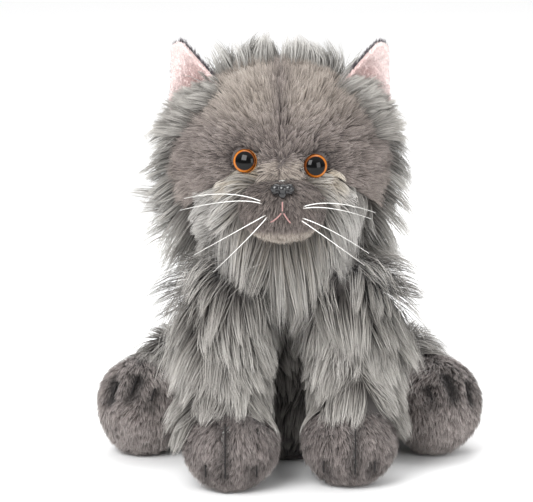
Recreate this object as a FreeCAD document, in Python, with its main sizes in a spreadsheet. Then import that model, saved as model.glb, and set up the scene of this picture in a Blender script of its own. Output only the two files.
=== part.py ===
"""Sitting long-haired plush cat: stuffed covers, safety eyes and nose, whiskers, and limbs that flex at their seams.

Frame: millimetres, +Z up, the cat faces -Y and its own left is +X. The origin is the middle of the flat seat.
A plush cover's solid is its backing fabric plus the pile at its pressed thickness. Stuffing is a separate solid.
"""

import FreeCAD
import Part

import math
import os
import re

import Sketcher

Vector = FreeCAD.Vector
Rotation = FreeCAD.Rotation
Placement = FreeCAD.Placement
Constraint = Sketcher.Constraint

UP = Vector(0, 0, 1)
SIDES = {"left": 1, "right": -1}

# alias: (value in mm or degrees, what it is)
DIMENSIONS = {
    # covers
    "long_pile": (8, "long-pile cover: backing and pressed pile"),
    "short_pile": (5, "short-pile cover: backing and pressed pile"),
    "backing": (1.5, "woven backing under either pile"),
    "slip": (0.4, "room between a cover and what it is stuffed with"),
    "gather": (1.2, "radius of the flat where a cover is gathered at each end"),
    "seam_gap": (0.6, "room where two covers of one body meet at a seam"),
    # torso
    "torso_radius": (53, "torso radius"),
    "torso_half": (84, "torso egg half height"),
    "torso_z": (72, "torso egg centre above the seat"),
    "seat_radius": (26, "round base panel radius"),
    "seat_thickness": (2.5, "round base panel thickness"),
    "pellet_radius": (30, "pellet bag radius"),
    "pellet_half": (15, "pellet bag half height"),
    "pellet_z": (26, "pellet bag centre above the seat"),
    # neck, a ball of stuffing that both the torso and the head seat on
    "neck_x": (-4, "neck ball centre"),
    "neck_y": (-14, "neck ball centre"),
    "neck_z": (156.5, "neck ball centre"),
    "neck_radius": (15, "neck ball radius"),
    "neck_slip": (0.6, "room round the neck ball"),
    # head
    "head_x": (-7, "head centre"),
    "head_y": (-38, "head centre"),
    "head_z": (216, "head centre"),
    "head_half": (69, "head half width"),
    "head_radius": (62, "head radius in side view"),
    "face_seam_y": (-42, "plane of the seam between the face and the back of the head"),
    "muzzle_x": (-5.5, "muzzle centre"),
    "muzzle_y": (-92, "muzzle centre"),
    "muzzle_z": (195.5, "muzzle centre"),
    "muzzle_half": (29, "muzzle half width"),
    "muzzle_radius": (22, "muzzle radius in side view"),
    # eyes
    "eye_apart": (49.6, "distance between the eyes"),
    "eye_rise": (10.5, "eyes above the head centre"),
    "eye_skew": (1.7, "how much lower the left eye is sewn, and the right one higher"),
    "eye_radius": (8.25, "iris plate and lens radius"),
    "eye_dome": (5.6, "lens height"),
    "eye_plate": (1.2, "iris plate thickness"),
    "pupil_radius": (5.9, "pupil radius"),
    "pupil_depth": (1.0, "pupil thickness"),
    "shank_radius": (2.2, "shank radius"),
    "shank_length": (12, "shank length"),
    "washer_radius": (6.5, "lock washer radius"),
    "washer_thickness": (1.4, "lock washer thickness"),
    # nose
    "nose_width": (15, "nose width"),
    "nose_height": (10.4, "nose height"),
    "nose_depth": (6, "nose depth"),
    "nose_rise": (16, "nose above the muzzle centre"),
    # mouth and whiskers
    "thread": (0.45, "mouth thread radius"),
    "whisker": (0.3, "whisker radius"),
    "whisker_root": (2.5, "depth of a whisker's root in the pile"),
    # ears
    "ear_x": (52.5, "ear base centre beside the head centre"),
    "ear_y": (-36, "ear base centre"),
    "ear_z": (258.5, "ear base centre"),
    "ear_lean": (36, "how far an ear leans outwards, degrees"),
    "ear_turn": (18, "how far an ear's opening turns outwards, degrees"),
    "ear_width": (46, "ear width along its base"),
    "ear_height": (40, "ear height above its base"),
    "ear_curve": (34, "radius of the ear's cupped back"),
    "ear_cloth": (2.2, "dark back cloth thickness"),
    "ear_lining": (1.8, "lining cloth thickness"),
    "ear_gap": (3.2, "room between an ear and the head, for the ear to flex"),
    # front legs
    "shoulder_x": (41, "shoulder centre"),
    "shoulder_y": (-59, "shoulder centre"),
    "shoulder_z": (126, "shoulder centre"),
    "shoulder_radius": (24, "sleeve radius at the shoulder"),
    "cuff_x": (43, "cuff centre"),
    "cuff_y": (-87, "cuff centre"),
    "cuff_z": (44, "cuff centre"),
    "cuff_radius": (30, "sleeve radius at the cuff"),
    "front_paw_x": (40.5, "front paw centre"),
    "front_paw_y": (-96, "front paw centre"),
    "front_paw_half": (33.5, "front paw half width"),
    "front_paw_radius": (30.5, "front paw radius in side view"),
    "stagger": (6, "how far the right front leg reaches further forward, and the left one less"),
    # hind legs
    "thigh_x": (81, "thigh centre"),
    "thigh_y": (25, "thigh centre"),
    "thigh_z": (41, "thigh centre"),
    "thigh_half": (25, "thigh half width"),
    "thigh_radius": (40, "thigh radius in side view"),
    "hind_paw_x": (100, "hind paw centre"),
    "hind_paw_y": (-4, "hind paw centre"),
    "hind_paw_half": (32.7, "hind paw half width"),
    "hind_paw_radius": (32.5, "hind paw radius in side view"),
    "hind_turn": (28, "how far the hind foot points outwards, degrees"),
    # toes
    "toe_thread": (0.6, "toe thread radius"),
    "toe_groove": (1.5, "radius of the groove that a toe thread pulls into the pile"),
    # tail
    "tail_base_y": (67, "tail base centre"),
    "tail_bend": (70, "radius of the bend along the tail"),
    "tail_sweep": (55, "how far round its bend the tail goes, degrees"),
    "tail_radius": (18, "tail radius"),
}

NODES = []

doc = FreeCAD.newDocument("plush_cat")


def make_sheet():
    """The spreadsheet that holds every driving dimension under its alias."""
    sheet = doc.addObject("Spreadsheet::Sheet", "Sizes")
    for row, (alias, (value, meaning)) in enumerate(DIMENSIONS.items(), start=1):
        sheet.set(f"A{row}", str(value))
        sheet.set(f"B{row}", meaning)
        sheet.setAlias(f"A{row}", alias)
    doc.recompute()
    return sheet


sizes = make_sheet()


def size(alias):
    return float(sizes.get(alias))


def over_sizes(text):
    """An expression whose bare aliases are looked up in the spreadsheet."""
    return re.sub(r"[a-z_]+", lambda word: "Sizes." + word[0] if word[0] in DIMENSIONS else word[0], text)


def bind(obj, **expressions):
    for name, text in expressions.items():
        obj.setExpression(name, over_sizes(text))
    return obj


def keep(obj, label):
    """Makes obj a node of the assembly, under this name."""
    obj.Label = label
    NODES.append(obj)
    return obj


# ---------------------------------------------------------------- placements


def at(x, y, z, rotation=None):
    return Placement(Vector(x, y, z), rotation or Rotation())


def point_of(name):
    """The point that three dimensions name_x, name_y and name_z hold."""
    return Vector(*(size(f"{name}_{axis}") for axis in "xyz"))


def facing(direction):
    """A rotation that carries +Z to direction."""
    return Rotation(UP, direction)


LYING = facing(Vector(1, 0, 0))


def raised(place, height):
    """place moved along its own Z axis."""
    return place.multiply(at(0, 0, height))


# ---------------------------------------------------------------- solids


def sketch_on(body, name, role):
    """An empty sketch on one of the body's own origin planes."""
    sketch = body.newObject("Sketcher::SketchObject", name)
    plane = next(feature for feature in body.Origin.OriginFeatures if feature.Role == role)
    sketch.AttachmentSupport = [(plane, "")]
    sketch.MapMode = "FlatFace"
    return sketch


def offset_text(inset, outset):
    return "".join(f" - {alias}" for alias in inset) + "".join(f" + {alias}" for alias in outset)


def offset_value(inset, outset):
    return sum(map(size, outset)) - sum(map(size, inset))


def egg(name, radius, half, place, inset=(), outset=()):
    """Half an ellipse revolved about Z, with a small flat at each end where the cloth is gathered.

    The radius across and half the length along Z, the longer of the two, are aliases, and so are the lists of what to
    take off all round (inset) or add all round (outset)."""
    body = doc.addObject("PartDesign::Body", name)
    sketch = sketch_on(body, f"{name}_outline", "XZ_Plane")
    across = size(radius) + offset_value(inset, outset)
    along = size(half) + offset_value(inset, outset)
    flat = size("gather")
    top = Vector(flat, along * math.sqrt(1 - (flat / across) ** 2), 0)
    spread = math.acos(flat / across)
    ellipse = Part.Ellipse(Vector(0, along, 0), Vector(-across, 0, 0), Vector())
    sketch.addGeometry(Part.ArcOfEllipse(ellipse, -math.pi / 2 - spread, -math.pi / 2 + spread), False)
    axis_top, axis_bottom = Vector(0, top.y, 0), Vector(0, -top.y, 0)
    sketch.addGeometry(Part.LineSegment(top, axis_top), False)
    sketch.addGeometry(Part.LineSegment(axis_top, axis_bottom), False)
    sketch.addGeometry(Part.LineSegment(axis_bottom, Vector(flat, -top.y, 0)), False)
    sketch.exposeInternalGeometry(0)
    # 0 is the arc, 1 the upper flat, 2 the axis, 3 the lower flat, 4 and 5 the ellipse's major and minor diameters
    for constraint in (
        ("Coincident", 0, 3, -1, 1),
        ("Coincident", 0, 2, 1, 1),
        ("Coincident", 1, 2, 2, 1),
        ("Coincident", 2, 2, 3, 1),
        ("Coincident", 3, 2, 0, 1),
        ("PointOnObject", 2, 1, -2),
        ("PointOnObject", 2, 2, -2),
        ("Horizontal", 1),
        ("Horizontal", 3),
        ("Vertical", 4),
    ):
        sketch.addConstraint(Constraint(*constraint))
    change = offset_text(inset, outset)
    for kind, geometry, value, text in (
        ("Distance", 5, 2 * across, f"2 * ({radius}{change})"),
        ("Distance", 4, 2 * along, f"2 * ({half}{change})"),
        ("Distance", 1, flat, "gather"),
        ("Distance", 3, flat, "gather"),
    ):
        made = sketch.addConstraint(Constraint(kind, geometry, value))
        sketch.setExpression(f"Constraints[{made}]", over_sizes(text))
    turned = body.newObject("PartDesign::Revolution", f"{name}_turned")
    turned.Profile = sketch
    turned.ReferenceAxis = (sketch, ["V_Axis"])
    turned.Angle = 360
    body.Placement = place
    return body


def cushion(name, radius, half, place, inset=(), outset=()):
    """A thick disc about Z with a half-round rim. The aliases and lists are those of an egg."""
    body = doc.addObject("PartDesign::Body", name)
    sketch = sketch_on(body, f"{name}_outline", "XZ_Plane")
    flat = size(radius) - size(half)
    high = size(half) + offset_value(inset, outset)
    rim = Part.Circle(Vector(flat, 0, 0), Vector(0, 0, 1), high)
    sketch.addGeometry(Part.ArcOfCircle(rim, -math.pi / 2, math.pi / 2), False)
    axis_top, axis_bottom = Vector(0, high, 0), Vector(0, -high, 0)
    sketch.addGeometry(Part.LineSegment(Vector(flat, high, 0), axis_top), False)
    sketch.addGeometry(Part.LineSegment(axis_top, axis_bottom), False)
    sketch.addGeometry(Part.LineSegment(axis_bottom, Vector(flat, -high, 0)), False)
    # 0 is the rim, 1 the upper face, 2 the axis and 3 the lower face
    for constraint in (
        ("Coincident", 0, 2, 1, 1),
        ("Coincident", 1, 2, 2, 1),
        ("Coincident", 2, 2, 3, 1),
        ("Coincident", 3, 2, 0, 1),
        ("PointOnObject", 2, 1, -2),
        ("PointOnObject", 2, 2, -2),
        ("PointOnObject", 0, 3, -1),
        ("Horizontal", 1),
        ("Horizontal", 3),
        ("Vertical", 0, 2, 0, 3),
        ("Vertical", 0, 1, 0, 3),
    ):
        sketch.addConstraint(Constraint(*constraint))
    for kind, geometry, value, text in (
        ("Radius", 0, high, f"{half}{offset_text(inset, outset)}"),
        ("Distance", 1, flat, f"{radius} - {half}"),
    ):
        made = sketch.addConstraint(Constraint(kind, geometry, value))
        sketch.setExpression(f"Constraints[{made}]", over_sizes(text))
    turned = body.newObject("PartDesign::Revolution", f"{name}_turned")
    turned.Profile = sketch
    turned.ReferenceAxis = (sketch, ["V_Axis"])
    turned.Angle = 360
    body.Placement = place
    return body


def rounded_prism(name, role, wide, high, corners, depth, roundings):
    """A padded polygon. Each corner is a share of the aliases wide and high, and each upright edge is rounded by the
    radius beside its corner, or left sharp if that is 0."""
    body = doc.addObject("PartDesign::Body", name)
    sketch = sketch_on(body, f"{name}_outline", role)
    points = [Vector(size(wide) * x, size(high) * y, 0) for x, y in corners]
    for i, point in enumerate(points):
        sketch.addGeometry(Part.LineSegment(point, points[(i + 1) % len(points)]), False)
    for i, (x, y) in enumerate(corners):
        sketch.addConstraint(Constraint("Coincident", i - 1 if i else len(corners) - 1, 2, i, 1))
        for kind, alias, share, value in (("DistanceX", wide, x, points[i].x), ("DistanceY", high, y, points[i].y)):
            made = sketch.addConstraint(Constraint(kind, -1, 1, i, 1, value))
            sketch.setExpression(f"Constraints[{made}]", over_sizes(f"{alias} * {share}"))
    pad = body.newObject("PartDesign::Pad", f"{name}_pad")
    pad.Profile = sketch
    bind(pad, Length=depth)
    doc.recompute()
    tip = pad
    for radius in sorted(set(roundings) - {0}):
        corner_points = [p for p, r in zip(points, roundings) if r == radius]
        edges = [e for e in upright_edges(tip.Shape, role) if near_corner(tip.Shape, e, corner_points, role)]
        rounding = body.newObject("PartDesign::Fillet", f"{name}_round_{len(body.Group)}")
        rounding.Base = (tip, edges)
        rounding.Radius = radius
        doc.recompute()
        tip = rounding
    return body


def upright_edges(shape, role):
    """Names of the edges along the pad's direction."""
    along = Vector(0, 1, 0) if role == "XZ_Plane" else UP
    names = []
    for i, edge in enumerate(shape.Edges, start=1):
        if isinstance(edge.Curve, Part.Line) and abs(edge.tangentAt(0).dot(along)) > 0.99:
            names.append(f"Edge{i}")
    return names


def near_corner(shape, edge_name, corner_points, role):
    at_edge = shape.getElement(edge_name).Vertexes[0].Point
    flat = Vector(at_edge.x, at_edge.z, 0) if role == "XZ_Plane" else Vector(at_edge.x, at_edge.y, 0)
    return any((flat - corner).Length < 0.01 for corner in corner_points)


def ball(name, radius, place):
    obj = doc.addObject("Part::Sphere", name)
    bind(obj, Radius=radius)
    obj.Placement = place
    return obj


def rod(name, radius, height, place):
    obj = doc.addObject("Part::Cylinder", name)
    bind(obj, Radius=radius, Height=height)
    obj.Placement = place
    return obj


def box_between(name, low, high):
    """A box from the corner low to the corner high, each a Vector."""
    obj = doc.addObject("Part::Box", name)
    obj.Length, obj.Width, obj.Height = high.x - low.x, high.y - low.y, high.z - low.z
    obj.Placement = Placement(low, Rotation())
    return obj


FAR = 400


def below(name, z):
    return box_between(name, Vector(-FAR, -FAR, z - FAR), Vector(FAR, FAR, z))


def in_front(name, y):
    return box_between(name, Vector(-FAR, y - FAR, -FAR), Vector(FAR, y, FAR))


def behind(name, y):
    return box_between(name, Vector(-FAR, y, -FAR), Vector(FAR, y + FAR, FAR))


def fixed_shape(name, shape):
    """A tool or piece whose shape follows no primitive."""
    obj = doc.addObject("Part::Feature", name)
    obj.Shape = shape
    return obj


def cut(name, base, *tools):
    for i, tool in enumerate(tools):
        made = doc.addObject("Part::Cut", f"{name}_{i}" if i < len(tools) - 1 else name)
        made.Base, made.Tool = base, tool
        base = made
    return base


def fuse(name, *shapes):
    made = doc.addObject("Part::MultiFuse", name)
    made.Shapes = list(shapes)
    return made


def common(name, *shapes):
    made = doc.addObject("Part::MultiCommon", name)
    made.Shapes = list(shapes)
    return made


def compound(name, shapes):
    made = doc.addObject("Part::Compound", name)
    made.Links = list(shapes)
    return made


# ---------------------------------------------------------------- torso and neck

LONG_COVER = ("long_pile",)
SHORT_COVER = ("short_pile",)


def neck_socket(name):
    """The hole that takes the neck ball."""
    return ball(name, "neck_radius + neck_slip", Placement(point_of("neck"), Rotation()))


def make_torso():
    centre = at(0, 0, size("torso_z"))
    outer = egg("torso_outer", "torso_radius", "torso_half", centre)
    hollow = egg("torso_hollow", "torso_radius", "torso_half", centre, inset=LONG_COVER)
    stuffed = egg("torso_stuffed", "torso_radius", "torso_half", centre, inset=LONG_COVER + ("slip",))
    opening = rod("seat_opening", "seat_radius + slip", "seat_thickness + slip", at(0, 0, 0))
    cover = cut("torso_cut", outer, below("under_seat", 0), hollow, opening, neck_socket("torso_neck_hole"))
    keep(cover, "torso_cover")
    keep(rod("seat_disc", "seat_radius", "seat_thickness", at(0, 0, 0)), "seat_panel")

    bag_place = at(0, 0, size("pellet_z"))
    keep(cushion("pellet_cushion", "pellet_radius", "pellet_half", bag_place), "pellet_bag")
    pocket = cushion("pellet_pocket", "pellet_radius", "pellet_half", bag_place, outset=("slip",))
    under = below("under_stuffing", size("seat_thickness") + 2 * size("slip"))
    keep(cut("torso_stuffing", stuffed, under, pocket, neck_socket("stuffing_neck_hole")), "torso_filling")
    keep(ball("neck_ball", "neck_radius", Placement(point_of("neck"), Rotation())), "neck_filling")


# ---------------------------------------------------------------- head surfaces


def on_egg(part, x, z, proud=0):
    """A point on the front of the head or the muzzle, at x and z, this far outside the surface."""
    centre = point_of(part)
    half, radius = size(f"{part}_half"), size(f"{part}_radius")
    y = centre.y - math.sqrt(radius**2 * (1 - ((x - centre.x) / half) ** 2) - (z - centre.z) ** 2)
    point = Vector(x, y, z)
    return point + egg_normal(part, point) * proud


def egg_normal(part, point):
    offset = point - point_of(part)
    half, radius = size(f"{part}_half"), size(f"{part}_radius")
    return Vector(offset.x / half**2, offset.y / radius**2, offset.z / radius**2).normalize()


def on_muzzle(dx, dz, proud=0):
    return on_egg("muzzle", size("muzzle_x") + dx, size("muzzle_z") + dz, proud)


def arc_tube(name, points, radius, share=1.0):
    """A round tube along the arc through three points, or along the first share of it."""
    whole = Part.Arc(*points).toShape()
    start, length = whole.FirstParameter, whole.LastParameter - whole.FirstParameter
    path = Part.Arc(*(whole.valueAt(start + length * share * t) for t in (0, 0.5, 1))).toShape()
    ring = Part.Wire([Part.Circle(points[0], path.tangentAt(path.FirstParameter), radius).toShape()])
    return fixed_shape(name, Part.Wire([path]).makePipeShell([ring], True, False))


# ---------------------------------------------------------------- eyes and nose


def eye_place(side):
    """Where an eye's axis leaves the face, its Z axis pointing outwards."""
    x = size("head_x") + side * size("eye_apart") / 2
    z = size("head_z") + size("eye_rise") - side * size("eye_skew")
    point = on_egg("head", x, z)
    return Placement(point, facing(egg_normal("head", point)))


def eye_cutters(side, name):
    """The flange's seat in the pile, the shank's hole and the washer's pocket."""
    place = eye_place(side)
    seat_depth = size("short_pile") - size("backing")
    hole_start = raised(place, -seat_depth - size("shank_length") - size("slip"))
    pocket_start = raised(place, -size("short_pile") - size("washer_thickness") - 3 * size("slip"))
    return (
        rod(f"{name}_seat", "eye_radius + slip", "4 * short_pile", raised(place, -seat_depth)),
        rod(f"{name}_hole", "shank_radius + slip", "shank_length + short_pile", hole_start),
        rod(f"{name}_pocket", "washer_radius + 2 * slip", "washer_thickness + short_pile", pocket_start),
    )


def make_washer(name, place):
    disc = rod(f"{name}_disc", "washer_radius", "washer_thickness", place)
    bore = rod(f"{name}_bore", "shank_radius + 0.05", "washer_thickness", place)
    keep(cut(f"{name}_cut", disc, bore), name)


def make_eye(side, name):
    """A safety eye: a clear lens over a black pupil on an orange plate, whose shank a lock washer holds."""
    seat_depth = size("short_pile") - size("backing")
    plate_place = raised(eye_place(side), -seat_depth + size("slip") / 2)
    lens_place = raised(plate_place, size("eye_plate"))
    plate = rod(f"{name}_plate", "eye_radius", "eye_plate", plate_place)
    shank = rod(f"{name}_shank", "shank_radius", "shank_length + 0.5", raised(plate_place, -size("shank_length")))
    keep(fuse(f"{name}_button", plate, shank), f"{name}_iris")
    keep(rod(f"{name}_dot", "pupil_radius", "pupil_depth", lens_place), f"{name}_pupil")

    dome_radius = (size("eye_radius") ** 2 + size("eye_dome") ** 2) / (2 * size("eye_dome"))
    dome_centre = raised(lens_place, size("eye_dome") - dome_radius)
    dome = ball(f"{name}_dome", "(eye_radius^2 + eye_dome^2) / (2 * eye_dome)", dome_centre)
    cap = common(f"{name}_cap", dome, rod(f"{name}_slab", "2 * eye_radius", "2 * eye_dome", lens_place))
    room = rod(f"{name}_pupil_room", "pupil_radius + 0.05", "pupil_depth + 0.05", lens_place)
    keep(cut(f"{name}_clear", cap, room), f"{name}_lens")
    make_washer(f"{name}_washer", raised(eye_place(side), -size("short_pile") - size("washer_thickness") - size("slip")))


# the nose outline as shares of its width and height, and the rounding of each corner
NOSE_OUTLINE = [(-0.5, 0.36), (0, 0.28), (0.5, 0.36), (0.5, -0.06), (0.13, -0.5), (-0.13, -0.5), (-0.5, -0.06)]
NOSE_ROUNDING = [1.9, 0, 1.9, 1.9, 0.8, 0.8, 1.9]


def nose_place():
    """Where the nose sits on the muzzle, its Z axis pointing out of the face and its X axis level."""
    outwards = Vector(0, -1, 0.3).normalize()
    return Placement(on_muzzle(0, size("nose_rise")), Rotation(Vector(1, 0, 0), UP, outwards, "ZXY"))


def nose_cutters():
    place = nose_place()
    return (
        rod("nose_seat", "nose_width / 2 + 2 * slip", "4 * short_pile", raised(place, -2.4)),
        rod("nose_hole", "shank_radius + slip", "24", raised(place, -14.5)),
        rod("nose_pocket", "washer_radius + 2 * slip", "7.5", raised(place, -10)),
    )


def make_nose():
    """A moulded nose: a notched, rounded triangle with two nostrils, on a shank with a lock washer."""
    block = rounded_prism(
        "nose_block", "XY_Plane", "nose_width", "nose_height", NOSE_OUTLINE, "nose_depth", NOSE_ROUNDING
    )
    base = block.Tip
    top = base.Shape.BoundBox.ZMax
    rim = [f"Edge{i}" for i, edge in enumerate(base.Shape.Edges, start=1) if edge.BoundBox.ZMin > top - 0.01]
    crown = block.newObject("PartDesign::Fillet", "nose_crown")
    crown.Base = (base, rim)
    crown.Radius = 0.75
    block.Placement = raised(nose_place(), -1.8)
    shank = rod("nose_shank", "shank_radius", "12.5", raised(nose_place(), -14))
    nostrils = []
    for name, side in SIDES.items():
        offset = at(side * size("nose_width") * 0.27, -size("nose_height") * 0.07, size("nose_depth") - 1.6)
        nostrils.append(ball(f"{name}_nostril", "0.09 * nose_width", nose_place().multiply(offset)))
    keep(cut("nose_moulding", fuse("nose_on_shank", block, shank), *nostrils), "nose")
    make_washer("nose_washer", raised(nose_place(), -9.2))


# ---------------------------------------------------------------- mouth and whiskers

# the mouth's stitches as offsets across and up from the muzzle centre: start, middle, end
MOUTH_STITCHES = [
    ((0, 7.8), (0, 4.8), (0, 1.8)),
    ((0.9, 0.2), (2.8, -3.0), (5.4, -6.6)),
    ((-0.9, 0.2), (-3.4, -2.8), (-8.0, -6.2)),
]

# whiskers on the cat's left: root across and up on the muzzle, then middle and tip as offsets from the muzzle centre
WHISKERS = [
    ((14.0, 4.2), (38, -14, 7.0), (68, 6, -3.0)),
    ((14.0, 1.0), (36, -17, 2.0), (65, 2, -8.5)),
    ((13.0, -4.5), (34, -20, -13.5), (62, -10, -31)),
    ((13.0, -7.8), (31, -22, -21), (56, -14, -39)),
]


def mouth_tubes(name, radius, proud):
    tubes = []
    for i, stitch in enumerate(MOUTH_STITCHES):
        tubes.append(arc_tube(f"{name}_{i}", [on_muzzle(dx, dz, proud) for dx, dz in stitch], radius))
    return tubes


def whisker_path(side, whisker):
    """Three points of a whisker, from its root under the pile's surface to its tip."""
    (dx, dz), middle, tip = whisker
    centre = point_of("muzzle")
    bent = [centre + Vector(side * x, y, z) for x, y, z in (middle, tip)]
    return [on_muzzle(side * dx, dz, -size("whisker_root"))] + bent


def whisker_tubes(name, side, radius, share=1.0):
    return [
        arc_tube(f"{name}_{i}", whisker_path(side, whisker), radius, share) for i, whisker in enumerate(WHISKERS)
    ]


# ---------------------------------------------------------------- ears

# the ear outline as shares of its width (outwards) and height (up), and the rounding of each corner
EAR_OUTLINE = [(-0.5, -0.4), (-0.25, 1.32), (0.37, 0.34), (0.5, -0.1), (0.47, -0.4)]
EAR_ROUNDING = [0, 6, 14, 9, 0]


def ear_place(side):
    """The ear's own frame: X along its base, Z up to the tip, and the lining faces -Y."""
    base = Vector(size("head_x") + side * size("ear_x"), size("ear_y"), size("ear_z"))
    lean = Rotation(Vector(0, 1, 0), side * size("ear_lean"))
    turn = Rotation(UP, side * size("ear_turn"))
    return Placement(base, turn.multiply(lean))


def ear_sheet(name, side, outer_radius, inner_radius, room):
    """A cupped sheet of cloth with the ear's outline: the part between two coaxial cylinders, behind their axis."""
    place = ear_place(side)
    corners = [(side * x, y) for x, y in EAR_OUTLINE]
    blank = rounded_prism(f"{name}_blank", "XZ_Plane", "ear_width", "ear_height", corners, "120", EAR_ROUNDING)
    blank.Placement = place.multiply(at(0, 60, 0))
    axis = place.multiply(at(0, -size("ear_curve"), -60))
    outside = rod(f"{name}_outside", outer_radius, "180", axis)
    inside = rod(f"{name}_inside", inner_radius, "180", axis)
    rear = box_between(f"{name}_rear", Vector(-90, 0, -90), Vector(90, 90, 180))
    rear.Placement = axis.multiply(rear.Placement)
    shaped = common(f"{name}_shaped", cut(f"{name}_bent", outside, inside), blank, rear)
    return cut(f"{name}_fitted", shaped, room)


def make_ear(side, name):
    head_at = Placement(point_of("head"), LYING)
    room = egg(f"{name}_ear_room", "head_radius", "head_half", head_at, outset=("ear_gap",))
    back = ear_sheet(f"{name}_ear_back_cloth", side, "ear_curve", "ear_curve - ear_cloth", room)
    keep(back, f"{name}_ear_back")
    lining_outside = "ear_curve - ear_cloth - 0.1"
    lining = ear_sheet(f"{name}_ear_lining_cloth", side, lining_outside, f"{lining_outside} - ear_lining", room)
    keep(lining, f"{name}_ear_lining")


# ---------------------------------------------------------------- head


def make_head():
    head_at = Placement(point_of("head"), LYING)
    outer = egg("head_outer", "head_radius", "head_half", head_at)
    hollow = egg("head_hollow", "head_radius", "head_half", head_at, inset=SHORT_COVER)
    stuffed = egg("head_stuffed", "head_radius", "head_half", head_at, inset=SHORT_COVER + ("slip",))
    head_room = egg("head_room", "head_radius", "head_half", head_at, outset=("slip",))
    eyes = {name: eye_cutters(side, f"{name}_eye") for name, side in SIDES.items()}
    nose_seat, nose_hole, nose_pocket = nose_cutters()

    # the face and the back of the head meet on an upright plane just in front of the ears
    seam = size("face_seam_y")
    eye_holes = [tool for seat, hole, pocket in eyes.values() for tool in (seat, hole)]
    front = cut("face_front", outer, behind("behind_seam", seam), hollow, *eye_holes, nose_hole, nose_pocket)
    keep(cut("face_cut", front, neck_socket("face_neck_hole")), "face_cover")
    rear = cut("head_rear", outer, in_front("before_seam", seam + size("seam_gap")), hollow)
    keep(cut("head_rear_cut", rear, neck_socket("head_neck_hole")), "head_back_cover")
    pockets = [tool for seat, hole, pocket in eyes.values() for tool in (hole, pocket)]
    stuffing = cut("head_stuffing", stuffed, *pockets, nose_hole, nose_pocket, neck_socket("head_stuffing_neck_hole"))
    keep(stuffing, "head_filling")

    muzzle_at = Placement(point_of("muzzle"), LYING)
    muzzle_outer = egg("muzzle_outer", "muzzle_radius", "muzzle_half", muzzle_at)
    muzzle_hollow = egg("muzzle_hollow", "muzzle_radius", "muzzle_half", muzzle_at, inset=SHORT_COVER)
    muzzle_stuffed = egg("muzzle_stuffed", "muzzle_radius", "muzzle_half", muzzle_at, inset=SHORT_COVER + ("slip",))
    skin = cut("muzzle_skin", muzzle_outer, muzzle_hollow, head_room, nose_seat, nose_hole)
    grooves = mouth_tubes("mouth_groove", 1.1, 0.4)
    for name, side in SIDES.items():
        grooves += whisker_tubes(f"{name}_whisker_hole", side, size("whisker") + 0.4, share=0.14)
    keep(cut("muzzle_cut", skin, *grooves), "muzzle_cover")
    keep(cut("muzzle_stuffing", muzzle_stuffed, head_room, nose_hole, nose_pocket), "muzzle_filling")

    for name, side in SIDES.items():
        make_eye(side, f"{name}_eye")
    make_nose()
    keep(compound("mouth_threads", mouth_tubes("mouth_thread", size("thread"), -0.1)), "mouth_stitching")
    for name, side in SIDES.items():
        whiskers = whisker_tubes(f"{name}_whisker", side, size("whisker"))
        keep(compound(f"{name}_whisker_set", whiskers), f"{name}_whiskers")
    for name, side in SIDES.items():
        make_ear(side, name)


# ---------------------------------------------------------------- legs

TOE_END = 4  # degrees by which a thread stops short of each end of its groove


def toe_ring(name, place, paw_name, toe, thickness, short_by):
    """Part of a ring round the paw's front, in a plane across the paw.

    A toe is (share of the paw's half width, lowest and highest angle above straight ahead in degrees)."""
    share, low, high = toe
    ring = doc.addObject("Part::Torus", name)
    bind(ring, Radius1=f"{paw_name}_radius * {math.sqrt(1 - share**2):.6f} - 0.3", Radius2=thickness)
    ring.Angle3 = high - low - 2 * short_by
    # the torus turns about its own Z, which lies across the paw: X starts straight ahead and turns upwards
    lying = Rotation(Vector(0, -1, 0), UP, Vector(-1, 0, 0), "ZXY")
    lift = Rotation(UP, low + short_by)
    across = at(share * size(f"{paw_name}_half"), 0, 0)
    ring.Placement = place.multiply(across).multiply(Placement(Vector(), lying.multiply(lift)))
    return ring


def make_paw(name, paw_name, place, toes):
    """A stuffed paw: a short-pile cover with a groove under each toe stitch, its filling, and the stitches."""
    radius, half = f"{paw_name}_radius", f"{paw_name}_half"
    lying = place.multiply(Placement(Vector(), LYING))
    outer = egg(f"{name}_outer", radius, half, lying)
    hollow = egg(f"{name}_hollow", radius, half, lying, inset=SHORT_COVER)
    grooves = [toe_ring(f"{name}_groove_{i}", place, paw_name, toe, "toe_groove", 0) for i, toe in enumerate(toes)]
    keep(cut(f"{name}_cut", outer, hollow, *grooves), f"{name}_cover")
    keep(egg(f"{name}_stuffing", radius, half, lying, inset=SHORT_COVER + ("slip",)), f"{name}_filling")
    threads = [
        toe_ring(f"{name}_thread_{i}", place, paw_name, toe, "toe_thread", TOE_END) for i, toe in enumerate(toes)
    ]
    keep(compound(f"{name}_threads", threads), f"{name}_toe_stitches")
    return egg(f"{name}_room", radius, half, lying, outset=("seam_gap",))


def reach(side):
    """How far a front leg is moved along Y at the paw: the right one reaches further forward."""
    return Vector(0, side * size("stagger"), 0)


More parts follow.
